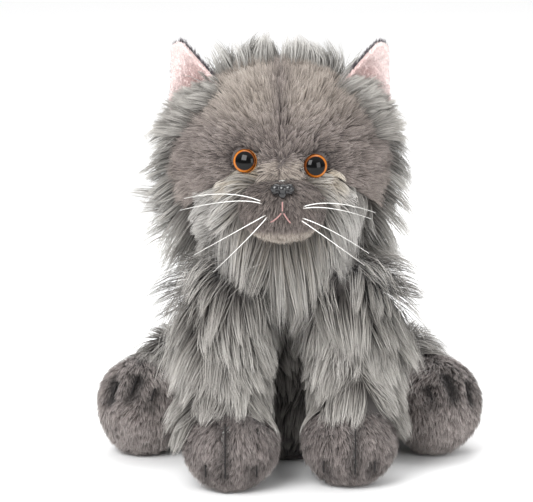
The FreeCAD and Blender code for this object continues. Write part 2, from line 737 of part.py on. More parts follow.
def sleeve(name, side, inset=()):
    """A tapered round-ended sleeve from the shoulder down to the cuff, with inset taken off all round."""
    top, foot = point_of("shoulder"), point_of("cuff") + reach(side)
    top.x, foot.x = side * top.x, side * foot.x
    length = (top - foot).Length
    # the taper touches both end balls, so its ends lie a little above the balls' centres
    slope = (size("cuff_radius") - size("shoulder_radius")) / length
    rise = math.sqrt(1 - slope**2)
    less = offset_text(inset, ())
    lowest, highest = f"(cuff_radius{less})", f"(shoulder_radius{less})"
    place = Placement(foot, facing(top - foot))
    low = ball(f"{name}_low", lowest, place)
    high = ball(f"{name}_high", highest, raised(place, length))
    taper = doc.addObject("Part::Cone", f"{name}_taper")
    bind(taper, Radius1=f"{lowest} * {rise:.6f}", Radius2=f"{highest} * {rise:.6f}")
    bind(taper, Height=f"{length:.6f} + ({highest} - {lowest}) * {slope:.6f}")
    taper.Placement = raised(place, (size("cuff_radius") + offset_value(inset, ())) * slope)
    return fuse(name, low, taper, high)


def front_paw_place(side):
    centre = Vector(side * size("front_paw_x"), size("front_paw_y"), size("front_paw_radius"))
    return Placement(centre + reach(side), Rotation())


def make_front_leg(name, side):
    paw = f"{name}_front_paw"
    toes = [(0.12 * side, -38, 48), (0.52, -46, -14), (-0.52, -46, -14)]
    paw_room = make_paw(paw, "front_paw", front_paw_place(side), toes)
    hollow = sleeve(f"{name}_sleeve_hollow", side, LONG_COVER)
    stuffed = sleeve(f"{name}_sleeve_stuffed", side, LONG_COVER + ("slip",))
    cover = cut(f"{name}_sleeve_cut", sleeve(f"{name}_sleeve", side), hollow, paw_room)
    keep(cover, f"{name}_front_leg_cover")
    keep(cut(f"{name}_sleeve_stuffing", stuffed, paw_room), f"{name}_front_leg_filling")


HIND_TOES = [(-0.42, 22, 52), (0.06, 26, 60), (0.5, 22, 50)]


def make_hind_leg(name, side):
    turn = Rotation(UP, side * size("hind_turn"))
    paw_place = at(side * size("hind_paw_x"), size("hind_paw_y"), size("hind_paw_radius"), turn)
    paw_room = make_paw(f"{name}_hind_paw", "hind_paw", paw_place, HIND_TOES)
    thigh_at = at(side * size("thigh_x"), size("thigh_y"), size("thigh_z"), LYING)
    outer = cushion(f"{name}_thigh_outer", "thigh_radius", "thigh_half", thigh_at)
    hollow = cushion(f"{name}_thigh_hollow", "thigh_radius", "thigh_half", thigh_at, inset=LONG_COVER)
    stuffed = cushion(f"{name}_thigh_stuffed", "thigh_radius", "thigh_half", thigh_at, inset=LONG_COVER + ("slip",))
    keep(cut(f"{name}_thigh_cut", outer, hollow, paw_room), f"{name}_thigh_cover")
    keep(cut(f"{name}_thigh_stuffing", stuffed, paw_room), f"{name}_thigh_filling")


# ---------------------------------------------------------------- tail


def tail_tube(name, inset=()):
    """A round tube lying on the floor, bent towards the cat's right, with a round end at each end."""
    radius = f"tail_radius{offset_text(inset, ())}"
    bend, sweep = size("tail_bend"), size("tail_sweep")
    centre = Vector(-bend, size("tail_base_y"), size("tail_radius"))
    arc = doc.addObject("Part::Torus", f"{name}_arc")
    bind(arc, Radius1="tail_bend", Radius2=radius, Angle3="tail_sweep")
    arc.Placement = Placement(centre, Rotation())
    end = centre + Rotation(UP, sweep).multVec(Vector(bend, 0, 0))
    base_ball = ball(f"{name}_base", radius, at(0, size("tail_base_y"), size("tail_radius")))
    end_ball = ball(f"{name}_end", radius, Placement(end, Rotation()))
    return fuse(name, arc, base_ball, end_ball)


def make_tail():
    # the cover is open where it is sewn to the torso
    mouth = in_front("tail_mouth", size("tail_base_y") - size("tail_radius") + 3)
    keep(cut("tail_cut", tail_tube("tail"), tail_tube("tail_hollow", LONG_COVER), mouth), "tail_cover")
    keep(tail_tube("tail_stuffing", LONG_COVER + ("slip",)), "tail_filling")


# ---------------------------------------------------------------- build, check and write


def check_document():
    doc.recompute()
    for obj in doc.Objects:
        if {"Invalid", "Error"} & set(obj.State):
            raise RuntimeError(f"{obj.Name} ({obj.Label}) failed: {obj.State}")
    for node in NODES:
        shape = node.Shape
        if shape.isNull() or not shape.isValid() or not shape.Solids:
            raise RuntimeError(f"{node.Label} has no valid solid")
        if min(solid.Volume for solid in shape.Solids) <= 0:
            raise RuntimeError(f"{node.Label} has a solid with no volume")


def write_parts():
    os.makedirs("parts", exist_ok=True)
    for node in NODES:
        node.Shape.exportStep(os.path.join("parts", f"{node.Label}.step"))
        print(f"{node.Label}: {len(node.Shape.Solids)} solids, {node.Shape.Volume / 1000:.2f} cm3")


make_torso()
make_head()
for side_name, side_sign in SIDES.items():
    make_front_leg(side_name, side_sign)
    make_hind_leg(side_name, side_sign)
make_tail()
check_document()
write_parts()
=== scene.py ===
"""Looks of the sitting long-haired plush cat: stuffed skins, fur, face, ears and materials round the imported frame.

Metres, +Z up, the cat faces -Y and its own left is +X.
"""

import math

import bmesh
import bpy
import numpy as np
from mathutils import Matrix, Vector
from mathutils.kdtree import KDTree


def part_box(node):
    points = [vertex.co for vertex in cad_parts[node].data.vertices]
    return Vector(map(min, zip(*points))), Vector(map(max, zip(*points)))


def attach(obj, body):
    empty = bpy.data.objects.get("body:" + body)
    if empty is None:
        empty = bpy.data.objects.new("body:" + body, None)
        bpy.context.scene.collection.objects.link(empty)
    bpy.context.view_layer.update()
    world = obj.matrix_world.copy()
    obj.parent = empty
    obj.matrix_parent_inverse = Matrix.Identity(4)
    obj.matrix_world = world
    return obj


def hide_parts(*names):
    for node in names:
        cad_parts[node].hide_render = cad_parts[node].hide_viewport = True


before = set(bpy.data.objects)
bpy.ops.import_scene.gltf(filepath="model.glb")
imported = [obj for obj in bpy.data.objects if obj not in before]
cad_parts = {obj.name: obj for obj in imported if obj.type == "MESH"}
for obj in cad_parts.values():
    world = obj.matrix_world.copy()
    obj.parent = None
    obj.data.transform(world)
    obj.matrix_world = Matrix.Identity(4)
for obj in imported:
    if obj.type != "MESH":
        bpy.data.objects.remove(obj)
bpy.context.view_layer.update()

MM = 0.001
SIDES = {"left": 1, "right": -1}


def corners(node):
    """The lowest and highest corner of a CAD node's box."""
    return [np.array(corner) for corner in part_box(node)]


def middle(node):
    return sum(corners(node)) / 2


def half_size(node):
    low, high = corners(node)
    return (high - low) / 2


# ---- key places, all from the frame

FACE_LOW, FACE_HIGH = corners("face_cover")
BACK_LOW, BACK_HIGH = corners("head_back_cover")
HEAD_HIGH = np.array([FACE_HIGH[0], BACK_HIGH[1], FACE_HIGH[2]])
HEAD, HEAD_RADII = (FACE_LOW + HEAD_HIGH) / 2, (HEAD_HIGH - FACE_LOW) / 2
MUZZLE_DEPTH = 0.022  # half the depth and half the height of the whole egg that the muzzle is part of
MUZZLE_RADII = np.array([half_size("muzzle_cover")[0], MUZZLE_DEPTH, MUZZLE_DEPTH])
MUZZLE = np.array([middle("muzzle_cover")[0], *(corners("muzzle_cover")[0][1:] + MUZZLE_DEPTH)])
NOSE = np.array([middle("nose")[0], corners("nose")[0][1] + 0.003, middle("nose")[2]])
TORSO = np.array([0, 0, 0.072])
TORSO_RADII = np.array([*half_size("torso_cover")[:2], corners("torso_cover")[1][2] - TORSO[2]])


def rng_for(name):
    """A random generator that depends only on the piece's name."""
    return np.random.default_rng(sum((i + 1) * ord(c) for i, c in enumerate(name)) + 20)


def unit(vectors):
    return vectors / np.maximum(np.linalg.norm(vectors, axis=-1, keepdims=True), 1e-12)


# ---- materials


def principled(name):
    material = bpy.data.materials.new(name)
    material.use_nodes = True
    return material, material.node_tree, material.node_tree.nodes["Principled BSDF"]


def add_node(tree, kind, **inputs):
    made = tree.nodes.new(kind)
    for key, value in inputs.items():
        made.inputs[key].default_value = value
    return made


def ramp(tree, source, stops):
    """A colour ramp on source. stops are (position, colour)."""
    made = tree.nodes.new("ShaderNodeValToRGB")
    elements = made.color_ramp.elements
    while len(elements) < len(stops):
        elements.new(0.5)
    for element, (position, colour) in zip(elements, stops):
        element.position = position
        element.color = (*colour, 1)
    tree.links.new(source, made.inputs["Fac"])
    return made.outputs["Color"]


def mix_colour(tree, kind, factor, first, second):
    made = tree.nodes.new("ShaderNodeMix")
    made.data_type = "RGBA"
    made.blend_type = kind
    for socket, value in ((made.inputs[0], factor), (made.inputs[6], first), (made.inputs[7], second)):
        if isinstance(value, bpy.types.NodeSocket):
            tree.links.new(value, socket)
        elif isinstance(value, tuple):
            socket.default_value = (*value, 1)
        else:
            socket.default_value = value
    return made.outputs[2]


def noise(tree, scale, detail=2.0):
    """Noise over the object's own coordinates, with scale in features per metre."""
    place = tree.nodes.new("ShaderNodeTexCoord")
    made = add_node(tree, "ShaderNodeTexNoise", Scale=scale, Detail=detail)
    tree.links.new(place.outputs["Object"], made.inputs["Vector"])
    return made.outputs["Fac"]


def hair_material(name, along_stops, tone_stops, light_stops=None, roughness=0.55, sheen=0.25, blotch=0.0):
    """Colour along each hair from root to tip, varied from hair to hair and from lock to lock.

    light_stops are the colours that the light attribute mixes in, where the piece has any: lighter hairs, and darker
    hairs as painted shade on the paws and in the ears' hollows."""
    material, tree, shader = principled(name)
    along, tone, light = (tree.nodes.new("ShaderNodeAttribute") for _ in range(3))
    along.attribute_name, tone.attribute_name, light.attribute_name = "along", "tone", "light"
    colour = ramp(tree, along.outputs["Fac"], along_stops)
    if light_stops:
        colour = mix_colour(tree, "MIX", light.outputs["Fac"], colour, ramp(tree, along.outputs["Fac"], light_stops))
    colour = mix_colour(tree, "MULTIPLY", 1.0, colour, ramp(tree, tone.outputs["Fac"], tone_stops))
    if blotch:
        patches = ramp(tree, noise(tree, 38.0), [(0.35, (0.84, 0.83, 0.82)), (0.65, (1.0, 1.0, 1.0))])
        colour = mix_colour(tree, "MULTIPLY", blotch, colour, patches)
    tree.links.new(colour, shader.inputs["Base Color"])
    shader.inputs["Roughness"].default_value = roughness
    shader.inputs["Specular IOR Level"].default_value = 0.35
    shader.inputs["Sheen Weight"].default_value = sheen
    shader.inputs["Sheen Roughness"].default_value = 0.5
    return material


def cloth_material(name, dark, light, scale=900.0, bump=0.25, sheen=0.3, roughness=0.9):
    """Backing cloth or thread: a fine weave of two colours with a matching bump."""
    material, tree, shader = principled(name)
    place = tree.nodes.new("ShaderNodeTexCoord")
    weave = add_node(tree, "ShaderNodeTexWave", Scale=scale, Distortion=2.0)
    tree.links.new(place.outputs["Object"], weave.inputs["Vector"])
    grain = mix_colour(tree, "MIX", 0.5, weave.outputs["Color"], noise(tree, scale * 1.7))
    tree.links.new(ramp(tree, grain, [(0.3, dark), (0.7, light)]), shader.inputs["Base Color"])
    bumped = add_node(tree, "ShaderNodeBump", Strength=bump, Distance=0.0004)
    tree.links.new(grain, bumped.inputs["Height"])
    tree.links.new(bumped.outputs["Normal"], shader.inputs["Normal"])
    shader.inputs["Roughness"].default_value = roughness
    shader.inputs["Sheen Weight"].default_value = sheen
    return material


WHITE = (1.0, 1.0, 1.0)
TONES = [(0.0, (0.26, 0.25, 0.24)), (0.3, (0.56, 0.55, 0.54)), (0.7, (0.92, 0.91, 0.90)), (1.0, WHITE)]
LONG_FUR = hair_material(
    "long_fur",
    [
        (0.0, (0.022, 0.018, 0.016)), (0.3, (0.105, 0.094, 0.086)),
        (0.6, (0.31, 0.297, 0.275)), (1.0, (0.58, 0.562, 0.53)),
    ],
    TONES,
    [(0.0, (0.20, 0.18, 0.16)), (0.3, (0.38, 0.37, 0.345)), (0.6, (0.56, 0.555, 0.535)), (1.0, (0.74, 0.735, 0.715))],
    blotch=0.6,
)
RUFF_FUR = hair_material(
    "ruff_fur",
    [(0.0, (0.070, 0.062, 0.056)), (0.3, (0.24, 0.228, 0.212)), (0.6, (0.44, 0.43, 0.41)), (1.0, (0.72, 0.705, 0.68))],
    TONES,
    [(0.0, (0.24, 0.19, 0.14)), (0.4, (0.42, 0.36, 0.28)), (1.0, (0.62, 0.57, 0.49))],
    blotch=0.3,
)
SHORT_FUR = hair_material(
    "face_plush",
    [
        (0.0, (0.030, 0.022, 0.021)), (0.4, (0.105, 0.083, 0.077)),
        (0.75, (0.235, 0.198, 0.184)), (1.0, (0.47, 0.415, 0.385)),
    ],
    [(0.0, (0.36, 0.34, 0.33)), (0.5, (0.82, 0.81, 0.80)), (1.0, (1.0, 1.0, 1.0))],
    [(0.0, (0.15, 0.122, 0.105)), (0.5, (0.36, 0.31, 0.265)), (1.0, (0.60, 0.54, 0.48))],
    blotch=0.8,
)
PAW_FUR = hair_material(
    "paw_plush",
    [(0.0, (0.075, 0.061, 0.057)), (0.5, (0.245, 0.208, 0.195)), (1.0, (0.70, 0.64, 0.61))],
    [(0.0, (0.32, 0.30, 0.30)), (0.5, (0.78, 0.77, 0.77)), (1.0, (1.0, 1.0, 1.0))],
    # darkest hairs, mixed in by the light attribute: painted shade beside the toe threads
    [(0.0, (0.012, 0.010, 0.010)), (1.0, (0.055, 0.046, 0.043))],
    blotch=0.9,
)
EAR_FUR = hair_material(
    "ear_back_plush",
    [(0.0, (0.035, 0.028, 0.034)), (0.6, (0.11, 0.09, 0.107)), (1.0, (0.24, 0.21, 0.235))],
    [(0.0, (0.7, 0.7, 0.7)), (1.0, (1.0, 1.0, 1.0))],
    roughness=0.5,
)
PINK_PILE = hair_material(
    "ear_lining_pile",
    [(0.0, (0.78, 0.62, 0.60)), (0.6, (0.90, 0.81, 0.79)), (1.0, (0.96, 0.91, 0.90))],
    [(0.0, (0.9, 0.88, 0.88)), (1.0, (1.0, 1.0, 1.0))],
    # darker pinks, mixed in by the light attribute: painted shade in the ear's hollow
    [(0.0, (0.52, 0.33, 0.31)), (1.0, (0.76, 0.56, 0.53))],
    sheen=0.5,
)
LONG_SKIN = cloth_material("long_backing", (0.045, 0.040, 0.038), (0.085, 0.076, 0.072))
FACE_SKIN = cloth_material("face_backing", (0.070, 0.058, 0.055), (0.120, 0.102, 0.096))
PAW_SKIN = cloth_material("paw_backing", (0.050, 0.042, 0.040), (0.090, 0.078, 0.074))
EAR_SKIN = cloth_material("ear_backing", (0.040, 0.032, 0.038), (0.075, 0.062, 0.072))
PINK_SKIN = cloth_material("ear_lining_cloth", (0.74, 0.58, 0.56), (0.88, 0.76, 0.74), scale=700.0, sheen=0.6)
FIBRE = cloth_material("fibre_filling", (0.70, 0.70, 0.68), (0.90, 0.90, 0.88), scale=260.0, bump=0.8)
POUCH = cloth_material("pellet_pouch", (0.55, 0.52, 0.45), (0.74, 0.71, 0.63), scale=1400.0)
BASE_CLOTH = cloth_material("base_cloth", (0.065, 0.058, 0.055), (0.12, 0.108, 0.102), scale=1300.0)
PINK_THREAD = cloth_material("pink_thread", (0.34, 0.15, 0.14), (0.56, 0.31, 0.29), scale=2600.0, bump=0.6)
DARK_THREAD = cloth_material(
    "dark_thread", (0.008, 0.007, 0.007), (0.022, 0.018, 0.018), scale=2600.0, bump=0.6, sheen=0.0
)


def gloss_material(name, colour, roughness, specks=0.0, coat=0.0):
    """Moulded plastic, with faint scuffs that vary its roughness."""
    material, tree, shader = principled(name)
    shader.inputs["Base Color"].default_value = (*colour, 1)
    shader.inputs["Coat Weight"].default_value = coat
    shader.inputs["Coat Roughness"].default_value = 0.04
    low, high = roughness, roughness + specks
    scuffs = ramp(tree, noise(tree, 700.0, 4.0), [(0.35, (low,) * 3), (0.75, (high,) * 3)])
    tree.links.new(scuffs, shader.inputs["Roughness"])
    return material


BLACK_GLOSS = gloss_material("pupil_black", (0.004, 0.004, 0.005), 0.06, 0.03, coat=0.5)
NOSE_GLOSS = gloss_material("nose_black", (0.008, 0.008, 0.009), 0.20, 0.10, coat=0.35)
WASHER = gloss_material("washer_plastic", (0.62, 0.62, 0.58), 0.45, 0.15)


def iris_material():
    """Orange paint, faintly streaked."""
    material, tree, shader = principled("iris_orange")
    streaks = ramp(tree, noise(tree, 900.0, 3.0), [(0.3, (0.56, 0.175, 0.012)), (0.7, (0.80, 0.30, 0.03))])
    tree.links.new(streaks, shader.inputs["Base Color"])
    shader.inputs["Roughness"].default_value = 0.35
    return material


def lens_material():
    material, _, shader = principled("eye_clear")
    shader.inputs["Base Color"].default_value = (1, 1, 1, 1)
    shader.inputs["Roughness"].default_value = 0.015
    shader.inputs["IOR"].default_value = 1.49
    shader.inputs["Transmission Weight"].default_value = 1.0
    return material


def whisker_material():
    material, tree, shader = principled("whisker_nylon")
    shade = ramp(tree, noise(tree, 500.0), [(0.3, (0.82, 0.81, 0.77)), (0.7, (0.95, 0.945, 0.93))])
    tree.links.new(shade, shader.inputs["Base Color"])
    shader.inputs["Roughness"].default_value = 0.25
    return material


IRIS = iris_material()
LENS = lens_material()
WHISKER = whisker_material()


# ---- meshes


def mesh_object(name, vertices, faces, material, smooth=True):
    mesh = bpy.data.meshes.new(name)
    mesh.from_pydata([tuple(v) for v in vertices], [], [tuple(f) for f in faces])
    mesh.materials.append(material)
    mesh.update()
    if smooth:
        mesh.shade_smooth()
    made = bpy.data.objects.new(name, mesh)
    bpy.context.scene.collection.objects.link(made)
    return made


def ring_faces(rings, segments, start=0):
    """Quads between rings of vertices that follow one another, from the vertex called start."""
    faces = []
    for ring in range(start, start + (rings - 1) * segments, segments):
        for i in range(segments):
            j = (i + 1) % segments
            faces.append((ring + i, ring + j, ring + segments + j, ring + segments + i))
    return faces


def ball_mesh(level):
    """Unit sphere vertices and triangles."""
    work = bmesh.new()
    bmesh.ops.create_icosphere(work, subdivisions=level, radius=1.0)
    vertices = np.array([v.co[:] for v in work.verts])
    faces = [[v.index for v in f.verts] for f in work.faces]
    work.free()
    return vertices, faces


def egg_skin(name, centre, radii, material, turn=None, level=5, shape=None):
    """An ellipsoid of cloth. shape may move its vertices: it gets unit directions and places, and gives new places."""
    directions, faces = ball_mesh(level)
    places = directions * np.array(radii)
    if shape is not None:
        places = shape(directions, places)
    if turn is not None:
        places = places @ np.array(turn).T
    return mesh_object(name, places + np.array(centre), faces, material)


def put_points(obj, places):
    """Gives a mesh's vertices new places."""
    obj.data.vertices.foreach_set("co", places.reshape(-1))
    obj.data.update()


def surface_arrays(obj):
    """World vertices, triangles and vertex normals of a mesh as arrays."""
    mesh = obj.data
    mesh.calc_loop_triangles()
    vertices = np.empty(len(mesh.vertices) * 3)
    mesh.vertices.foreach_get("co", vertices)
    normals = np.empty(len(mesh.vertices) * 3)
    mesh.vertices.foreach_get("normal", normals)
    triangles = np.empty(len(mesh.loop_triangles) * 3, dtype=np.int64)
    mesh.loop_triangles.foreach_get("vertices", triangles)
    return vertices.reshape(-1, 3), triangles.reshape(-1, 3), normals.reshape(-1, 3)


def scatter(obj, per_mm2, rng, density=None):
    """Random points on a mesh with their normals. density maps places to the share of points kept there."""
    vertices, triangles, normals = surface_arrays(obj)
    a, b, c = (vertices[triangles[:, i]] for i in range(3))
    areas = np.linalg.norm(np.cross(b - a, c - a), axis=1) / 2
    count = int(areas.sum() * 1e6 * per_mm2)
    chosen = rng.choice(len(areas), size=count, p=areas / areas.sum())
    u, v = rng.random(count), rng.random(count)
    flip = u + v > 1
    u[flip], v[flip] = 1 - u[flip], 1 - v[flip]
    w = 1 - u - v
    corners = triangles[chosen]
    points = sum(vertices[corners[:, i]] * s[:, None] for i, s in enumerate((w, u, v)))
    facing = unit(sum(normals[corners[:, i]] * s[:, None] for i, s in enumerate((w, u, v))))
    if density is not None:
        kept = rng.random(count) < density(points)
        points, facing = points[kept], facing[kept]
    return points, facing


# ---- obstacles that hair lies over


class Egg:
    """An ellipsoid that pushes hair out to its surface."""

    def __init__(self, centre, radii, turn=None):
        self.centre, self.radii = np.array(centre), np.array(radii)
        self.turn = np.eye(3) if turn is None else np.array(turn)

    def push(self, points, room):
        local = (points - self.centre) @ self.turn
        radii = self.radii + room
        depth = np.linalg.norm(local / radii, axis=-1, keepdims=True)
        inside = depth < 1
        return np.where(inside, (local / np.maximum(depth, 1e-6)) @ self.turn.T + self.centre, points)


class Floor:
    """The floor, which holds hair up just above it."""

    def push(self, points, room):
        out = points.copy()
        out[..., 2] = np.maximum(out[..., 2], 0.0006)
        return out


FLOOR = Floor()


# ---- hair


def find_nearest(points, targets):
    """The index of the nearest target to each point, and its distance."""
    tree = KDTree(len(targets))
    for i, target in enumerate(targets):
        tree.insert(target, i)
    tree.balance()
    found = [tree.find(point) for point in points]
    return np.array([f[1] for f in found], dtype=np.int64), np.array([f[2] for f in found])


def swirl(places, amount, size, seed):
    """A smooth random direction at each place, of about this amount. size (mm) is how far apart it changes."""
    rng = np.random.default_rng(seed)
    total = np.zeros_like(places)
    for _ in range(5):
        wave_vector = unit(rng.normal(size=3)) * (2 * math.pi / (size * MM)) * rng.uniform(0.6, 1.4)
        total += np.sin(places @ wave_vector + rng.random() * 6.28)[:, None] * rng.normal(size=3)
    return total * amount / 2.5


def hair_lines(roots, normals, flow, length, steps, rng, lift=0.5, droop=0.6, wave=0.05, spread=0.15):
    """Centre lines of hairs: each leaves the cloth between its normal and its flow, and bends over into the flow.

    roots, normals and flow are (n, 3) and length is (n,). Returns (n, steps + 1, 3)."""
    count = len(roots)
    jitter = rng.normal(size=(count, 3)) * spread
    flow = unit(flow + jitter)
    flow = unit(flow - (flow * normals).sum(axis=1, keepdims=True) * normals * 0.9)
    lift = np.reshape(lift, (-1, 1)) * (1 + 0.3 * rng.normal(size=(count, 1)))
    heading = unit(normals * lift + flow)
    lines = [roots]
    place = roots
    down = np.array([0, 0, -1.0])
    phase = rng.random((count, 1)) * 2 * math.pi
    side = unit(np.cross(flow, normals))
    for i in range(steps):
        t = (i + 1) / steps
        bend = heading * (1 - 0.55 * t) + flow * 0.55 * t + down * droop * t * t
        bend = bend + side * wave * np.sin(phase + 5.0 * t)
        place = place + unit(bend) * (length[:, None] / steps)
        lines.append(place)
    return np.stack(lines, axis=1)


def clump(lines, hairs_each, strength, rng, tightness):
    """Draws hairs together into pointed locks. Returns the lines and each hair's lock."""
    roots = lines[:, 0]
    count = max(2, len(roots) // hairs_each)
    chosen = rng.choice(len(roots), size=min(count, len(roots)), replace=False)
    lock, _ = find_nearest(roots, roots[chosen])
    leader = lines[chosen][lock]
    steps = lines.shape[1] - 1
    share = (np.arange(steps + 1) / steps) ** tightness
    share = share[None, :, None] * strength * (0.75 + 0.25 * rng.random((len(roots), 1, 1)))
    return lines * (1 - share) + leader * share, lock


def ribbons(name, lines, normals, width, material, tone, light, rng, taper=0.75):
    """Flat tapered ribbons along the lines, facing outwards, as one mesh with along, tone and light attributes."""
    count, points, _ = lines.shape
    steps = points - 1
    tangents = np.empty_like(lines)
    tangents[:, 1:-1] = lines[:, 2:] - lines[:, :-2]
    tangents[:, 0] = lines[:, 1] - lines[:, 0]
    tangents[:, -1] = lines[:, -1] - lines[:, -2]
    tangents = unit(tangents)
    facing = normals + rng.normal(size=normals.shape) * 0.45
    side = unit(np.cross(tangents, facing[:, None, :]))
    t = np.linspace(0, 1, points)[:-1]
    profile = 1 - taper * t**1.5
    half = (width[:, None] * profile[None, :])[..., None] / 2
    left = lines[:, :-1] - side[:, :-1] * half
    right = lines[:, :-1] + side[:, :-1] * half
    body = np.stack([left, right], axis=2).reshape(count, steps * 2, 3)
    vertices = np.concatenate([body, lines[:, -1:]], axis=1)
    per = steps * 2 + 1
    quads = 2 * np.arange(steps - 1)[:, None] + np.array([0, 1, 3, 2])
    base = (np.arange(count) * per)[:, None, None]
    quad_index = (base + quads[None]).reshape(-1)
    tip = (base[:, :, 0] + np.array([[2 * (steps - 1), 2 * (steps - 1) + 1, 2 * steps]])).reshape(-1)
    quad_count, tip_count = len(quad_index) // 4, len(tip) // 3

    mesh = bpy.data.meshes.new(name)
    mesh.vertices.add(count * per)
    mesh.vertices.foreach_set("co", vertices.reshape(-1))
    mesh.loops.add(len(quad_index) + len(tip))
    mesh.loops.foreach_set("vertex_index", np.concatenate([quad_index, tip]).astype(np.int32))
    mesh.polygons.add(quad_count + tip_count)
    starts = np.concatenate([np.arange(quad_count) * 4, len(quad_index) + np.arange(tip_count) * 3])
    mesh.polygons.foreach_set("loop_start", starts.astype(np.int32))
    mesh.polygons.foreach_set("use_smooth", np.ones(quad_count + tip_count, dtype=bool))
    mesh.update()

    along = np.tile(np.concatenate([np.repeat(t, 2), [1.0]]), count)
    for label, values in (("along", along), ("tone", np.repeat(tone, per)), ("light", np.repeat(light, per))):
        layer = mesh.attributes.new(label, "FLOAT", "POINT")
        layer.data.foreach_set("value", np.clip(values, 0, 1).astype(np.float32))
    strip_uv(mesh, count, steps, quad_index, tip, per)
    mesh.materials.append(material)
    made = bpy.data.objects.new(name, mesh)
    bpy.context.scene.collection.objects.link(made)
    return made


def strip_uv(mesh, count, steps, quad_index, tip, per):
    """A UV layer with one small cell for each hair: root at the bottom of its cell and tip at the top."""
    layer = mesh.uv_layers.new(name="OFBake")
    columns = int(math.ceil(math.sqrt(count * 3)))
    rows = int(math.ceil(count / columns))
    hair = np.arange(count)
    u0, v0 = (hair % columns) / columns, (hair // columns) / rows
    wide, tall = 0.8 / columns, 0.9 / rows
    local = np.zeros((per, 2))
    for i in range(steps):
        local[2 * i] = (0, i / steps)
        local[2 * i + 1] = (1, i / steps)
    local[2 * steps] = (0.5, 1)
    grid = np.stack([u0[:, None] + local[None, :, 0] * wide, v0[:, None] + local[None, :, 1] * tall], axis=2)
    corner = np.concatenate([quad_index, tip])
    layer.data.foreach_set("uv", grid.reshape(-1, 2)[corner].reshape(-1).astype(np.float32))


def fur(
    name, skin, body, material, slot, per_mm2, length, flow, width=0.55, steps=5, locks=((16, 0.75), (100, 0.55)),
    lift=0.5, droop=0.5, wave=0.05, spread=0.12, density=None, light=None, dark=None, over=(), room=1.5,
    tightness=1.35, ragged=0.2, taper=0.75,
):
    """Grows hair on a skin as one piece. length (mm), flow, density, light and dark are functions of places.

    locks are (hairs in a lock, how tightly they meet at its tip), from the smallest locks to the largest."""
    rng = rng_for(name)
    roots, normals = scatter(skin, per_mm2, rng, density)
    hairs = length(roots) * MM * np.clip(1 + ragged * rng.normal(size=len(roots)), 0.5, 1.5)
    rises = lift(roots) if callable(lift) else lift
    lines = hair_lines(roots, normals, flow(roots, normals), hairs, steps, rng, rises, droop, wave, spread)
    tone = rng.random(len(roots)) * 0.4
    for hairs_each, strength in locks:
        lines, chosen = clump(lines, hairs_each, strength, rng, tightness)
        tone = tone + 0.36 * rng.random(chosen.max() + 1)[chosen]
    if dark is not None:
        tone = tone * (1 - dark(roots))
    for obstacle in over:
        lines[:, 1:] = obstacle.push(lines[:, 1:], room * MM)
    shade = np.zeros(len(roots)) if light is None else light(roots) + 0.12 * rng.normal(size=len(roots))
    wide = width * MM * (0.7 + 0.6 * rng.random(len(roots)))
    made = ribbons(name, lines, normals, wide, material, tone, shade, rng, taper)
    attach(made, body)
    return made


def fur_in_halves(name, *where, density, **looks):
    """The same hair as two pieces, one on the cat's left and one on its right."""
    for half, sign in SIDES.items():
        fur(f"{name}_{half}", *where, density=lambda p: density(p) * (across_face(p) * sign > 0), **looks)


def constant(value):
    return lambda places: np.full(len(places), float(value))


# ---- skins


def lumpy(directions, places, amount, frequency, seed):
    """Moves places along their directions by a smooth wave of this amount (mm)."""
    rng = np.random.default_rng(seed)
    bump = np.zeros(len(directions))
    for _ in range(6):
        wave_vector = rng.normal(size=3) * frequency
        bump += np.sin(directions @ wave_vector + rng.random() * 6.28)
    return places + directions * (bump / 6 * amount * MM)[:, None]


def stuffed(obj, pinned, frames, cap, pressure=4.0):
    """Puffs a closed skin with a short cloth simulation. pinned vertices stay, and no vertex moves more than cap mm."""
    rest = surface_arrays(obj)[0]
    group = obj.vertex_groups.new(name="pin")
    group.add([int(i) for i in np.nonzero(pinned)[0]], 1.0, "REPLACE")
    modifier = obj.modifiers.new("stuffing", "CLOTH")
    settings = modifier.settings
    settings.quality, settings.mass = 3, 0.2
    settings.tension_stiffness = settings.compression_stiffness = 8
    settings.shear_stiffness, settings.bending_stiffness = 4, 0.4
    settings.use_pressure, settings.uniform_pressure_force = True, pressure
    settings.effector_weights.gravity = 0
    settings.vertex_group_mass = "pin"
    modifier.collision_settings.use_collision = False
    modifier.point_cache.frame_end = frames + 1
    scene = bpy.context.scene
    for step in range(1, frames + 1):
        scene.frame_set(step)
    depsgraph = bpy.context.evaluated_depsgraph_get()
    puffed = np.empty(len(obj.data.vertices) * 3)
    obj.evaluated_get(depsgraph).data.vertices.foreach_get("co", puffed)
    puffed = puffed.reshape(-1, 3)
    obj.modifiers.remove(modifier)
    scene.frame_set(1)
    moved = puffed - rest
    size = np.linalg.norm(moved, axis=1, keepdims=True)
    moved *= np.minimum(1, cap * MM / np.maximum(size, 1e-9))
    obj.vertex_groups.remove(group)
    put_points(obj, rest + moved)


def melt(obj, cell, rounds):
    """Remeshes an object to even cells (mm) and smooths it."""
    remesh = obj.modifiers.new("even", "REMESH")
    remesh.mode, remesh.voxel_size = "VOXEL", cell * MM
    smooth = obj.modifiers.new("soft", "SMOOTH")
    smooth.factor, smooth.iterations = 0.5, rounds
    bpy.context.view_layer.update()
    mesh = bpy.data.meshes.new_from_object(obj.evaluated_get(bpy.context.evaluated_depsgraph_get()))
    obj.modifiers.clear()
    obj.data = mesh
    mesh.shade_smooth()


def finish_skin(obj, body, node):
    """Joins a soft skin to its body and puts it in place of its CAD cover."""
    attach(obj, body)
    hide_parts(node)
    return obj


# ---- shapes that the skins and obstacles share

PILE = 0.004  # how far a backing cloth lies inside its CAD cover's outer face
UP = np.array([0, 0, 1.0])
DOWN = -UP


def turn_z(degrees):
    """A turn about the upright axis."""
    c, s = math.cos(math.radians(degrees)), math.sin(math.radians(degrees))
    return np.array([[c, -s, 0], [s, c, 0], [0, 0, 1.0]])


def smooth_step(value, low, high):
    """Zero below low, one above high, and a smooth rise between them."""
    t = np.clip((value - low) / (high - low), 0, 1)
    return t * t * (3 - 2 * t)


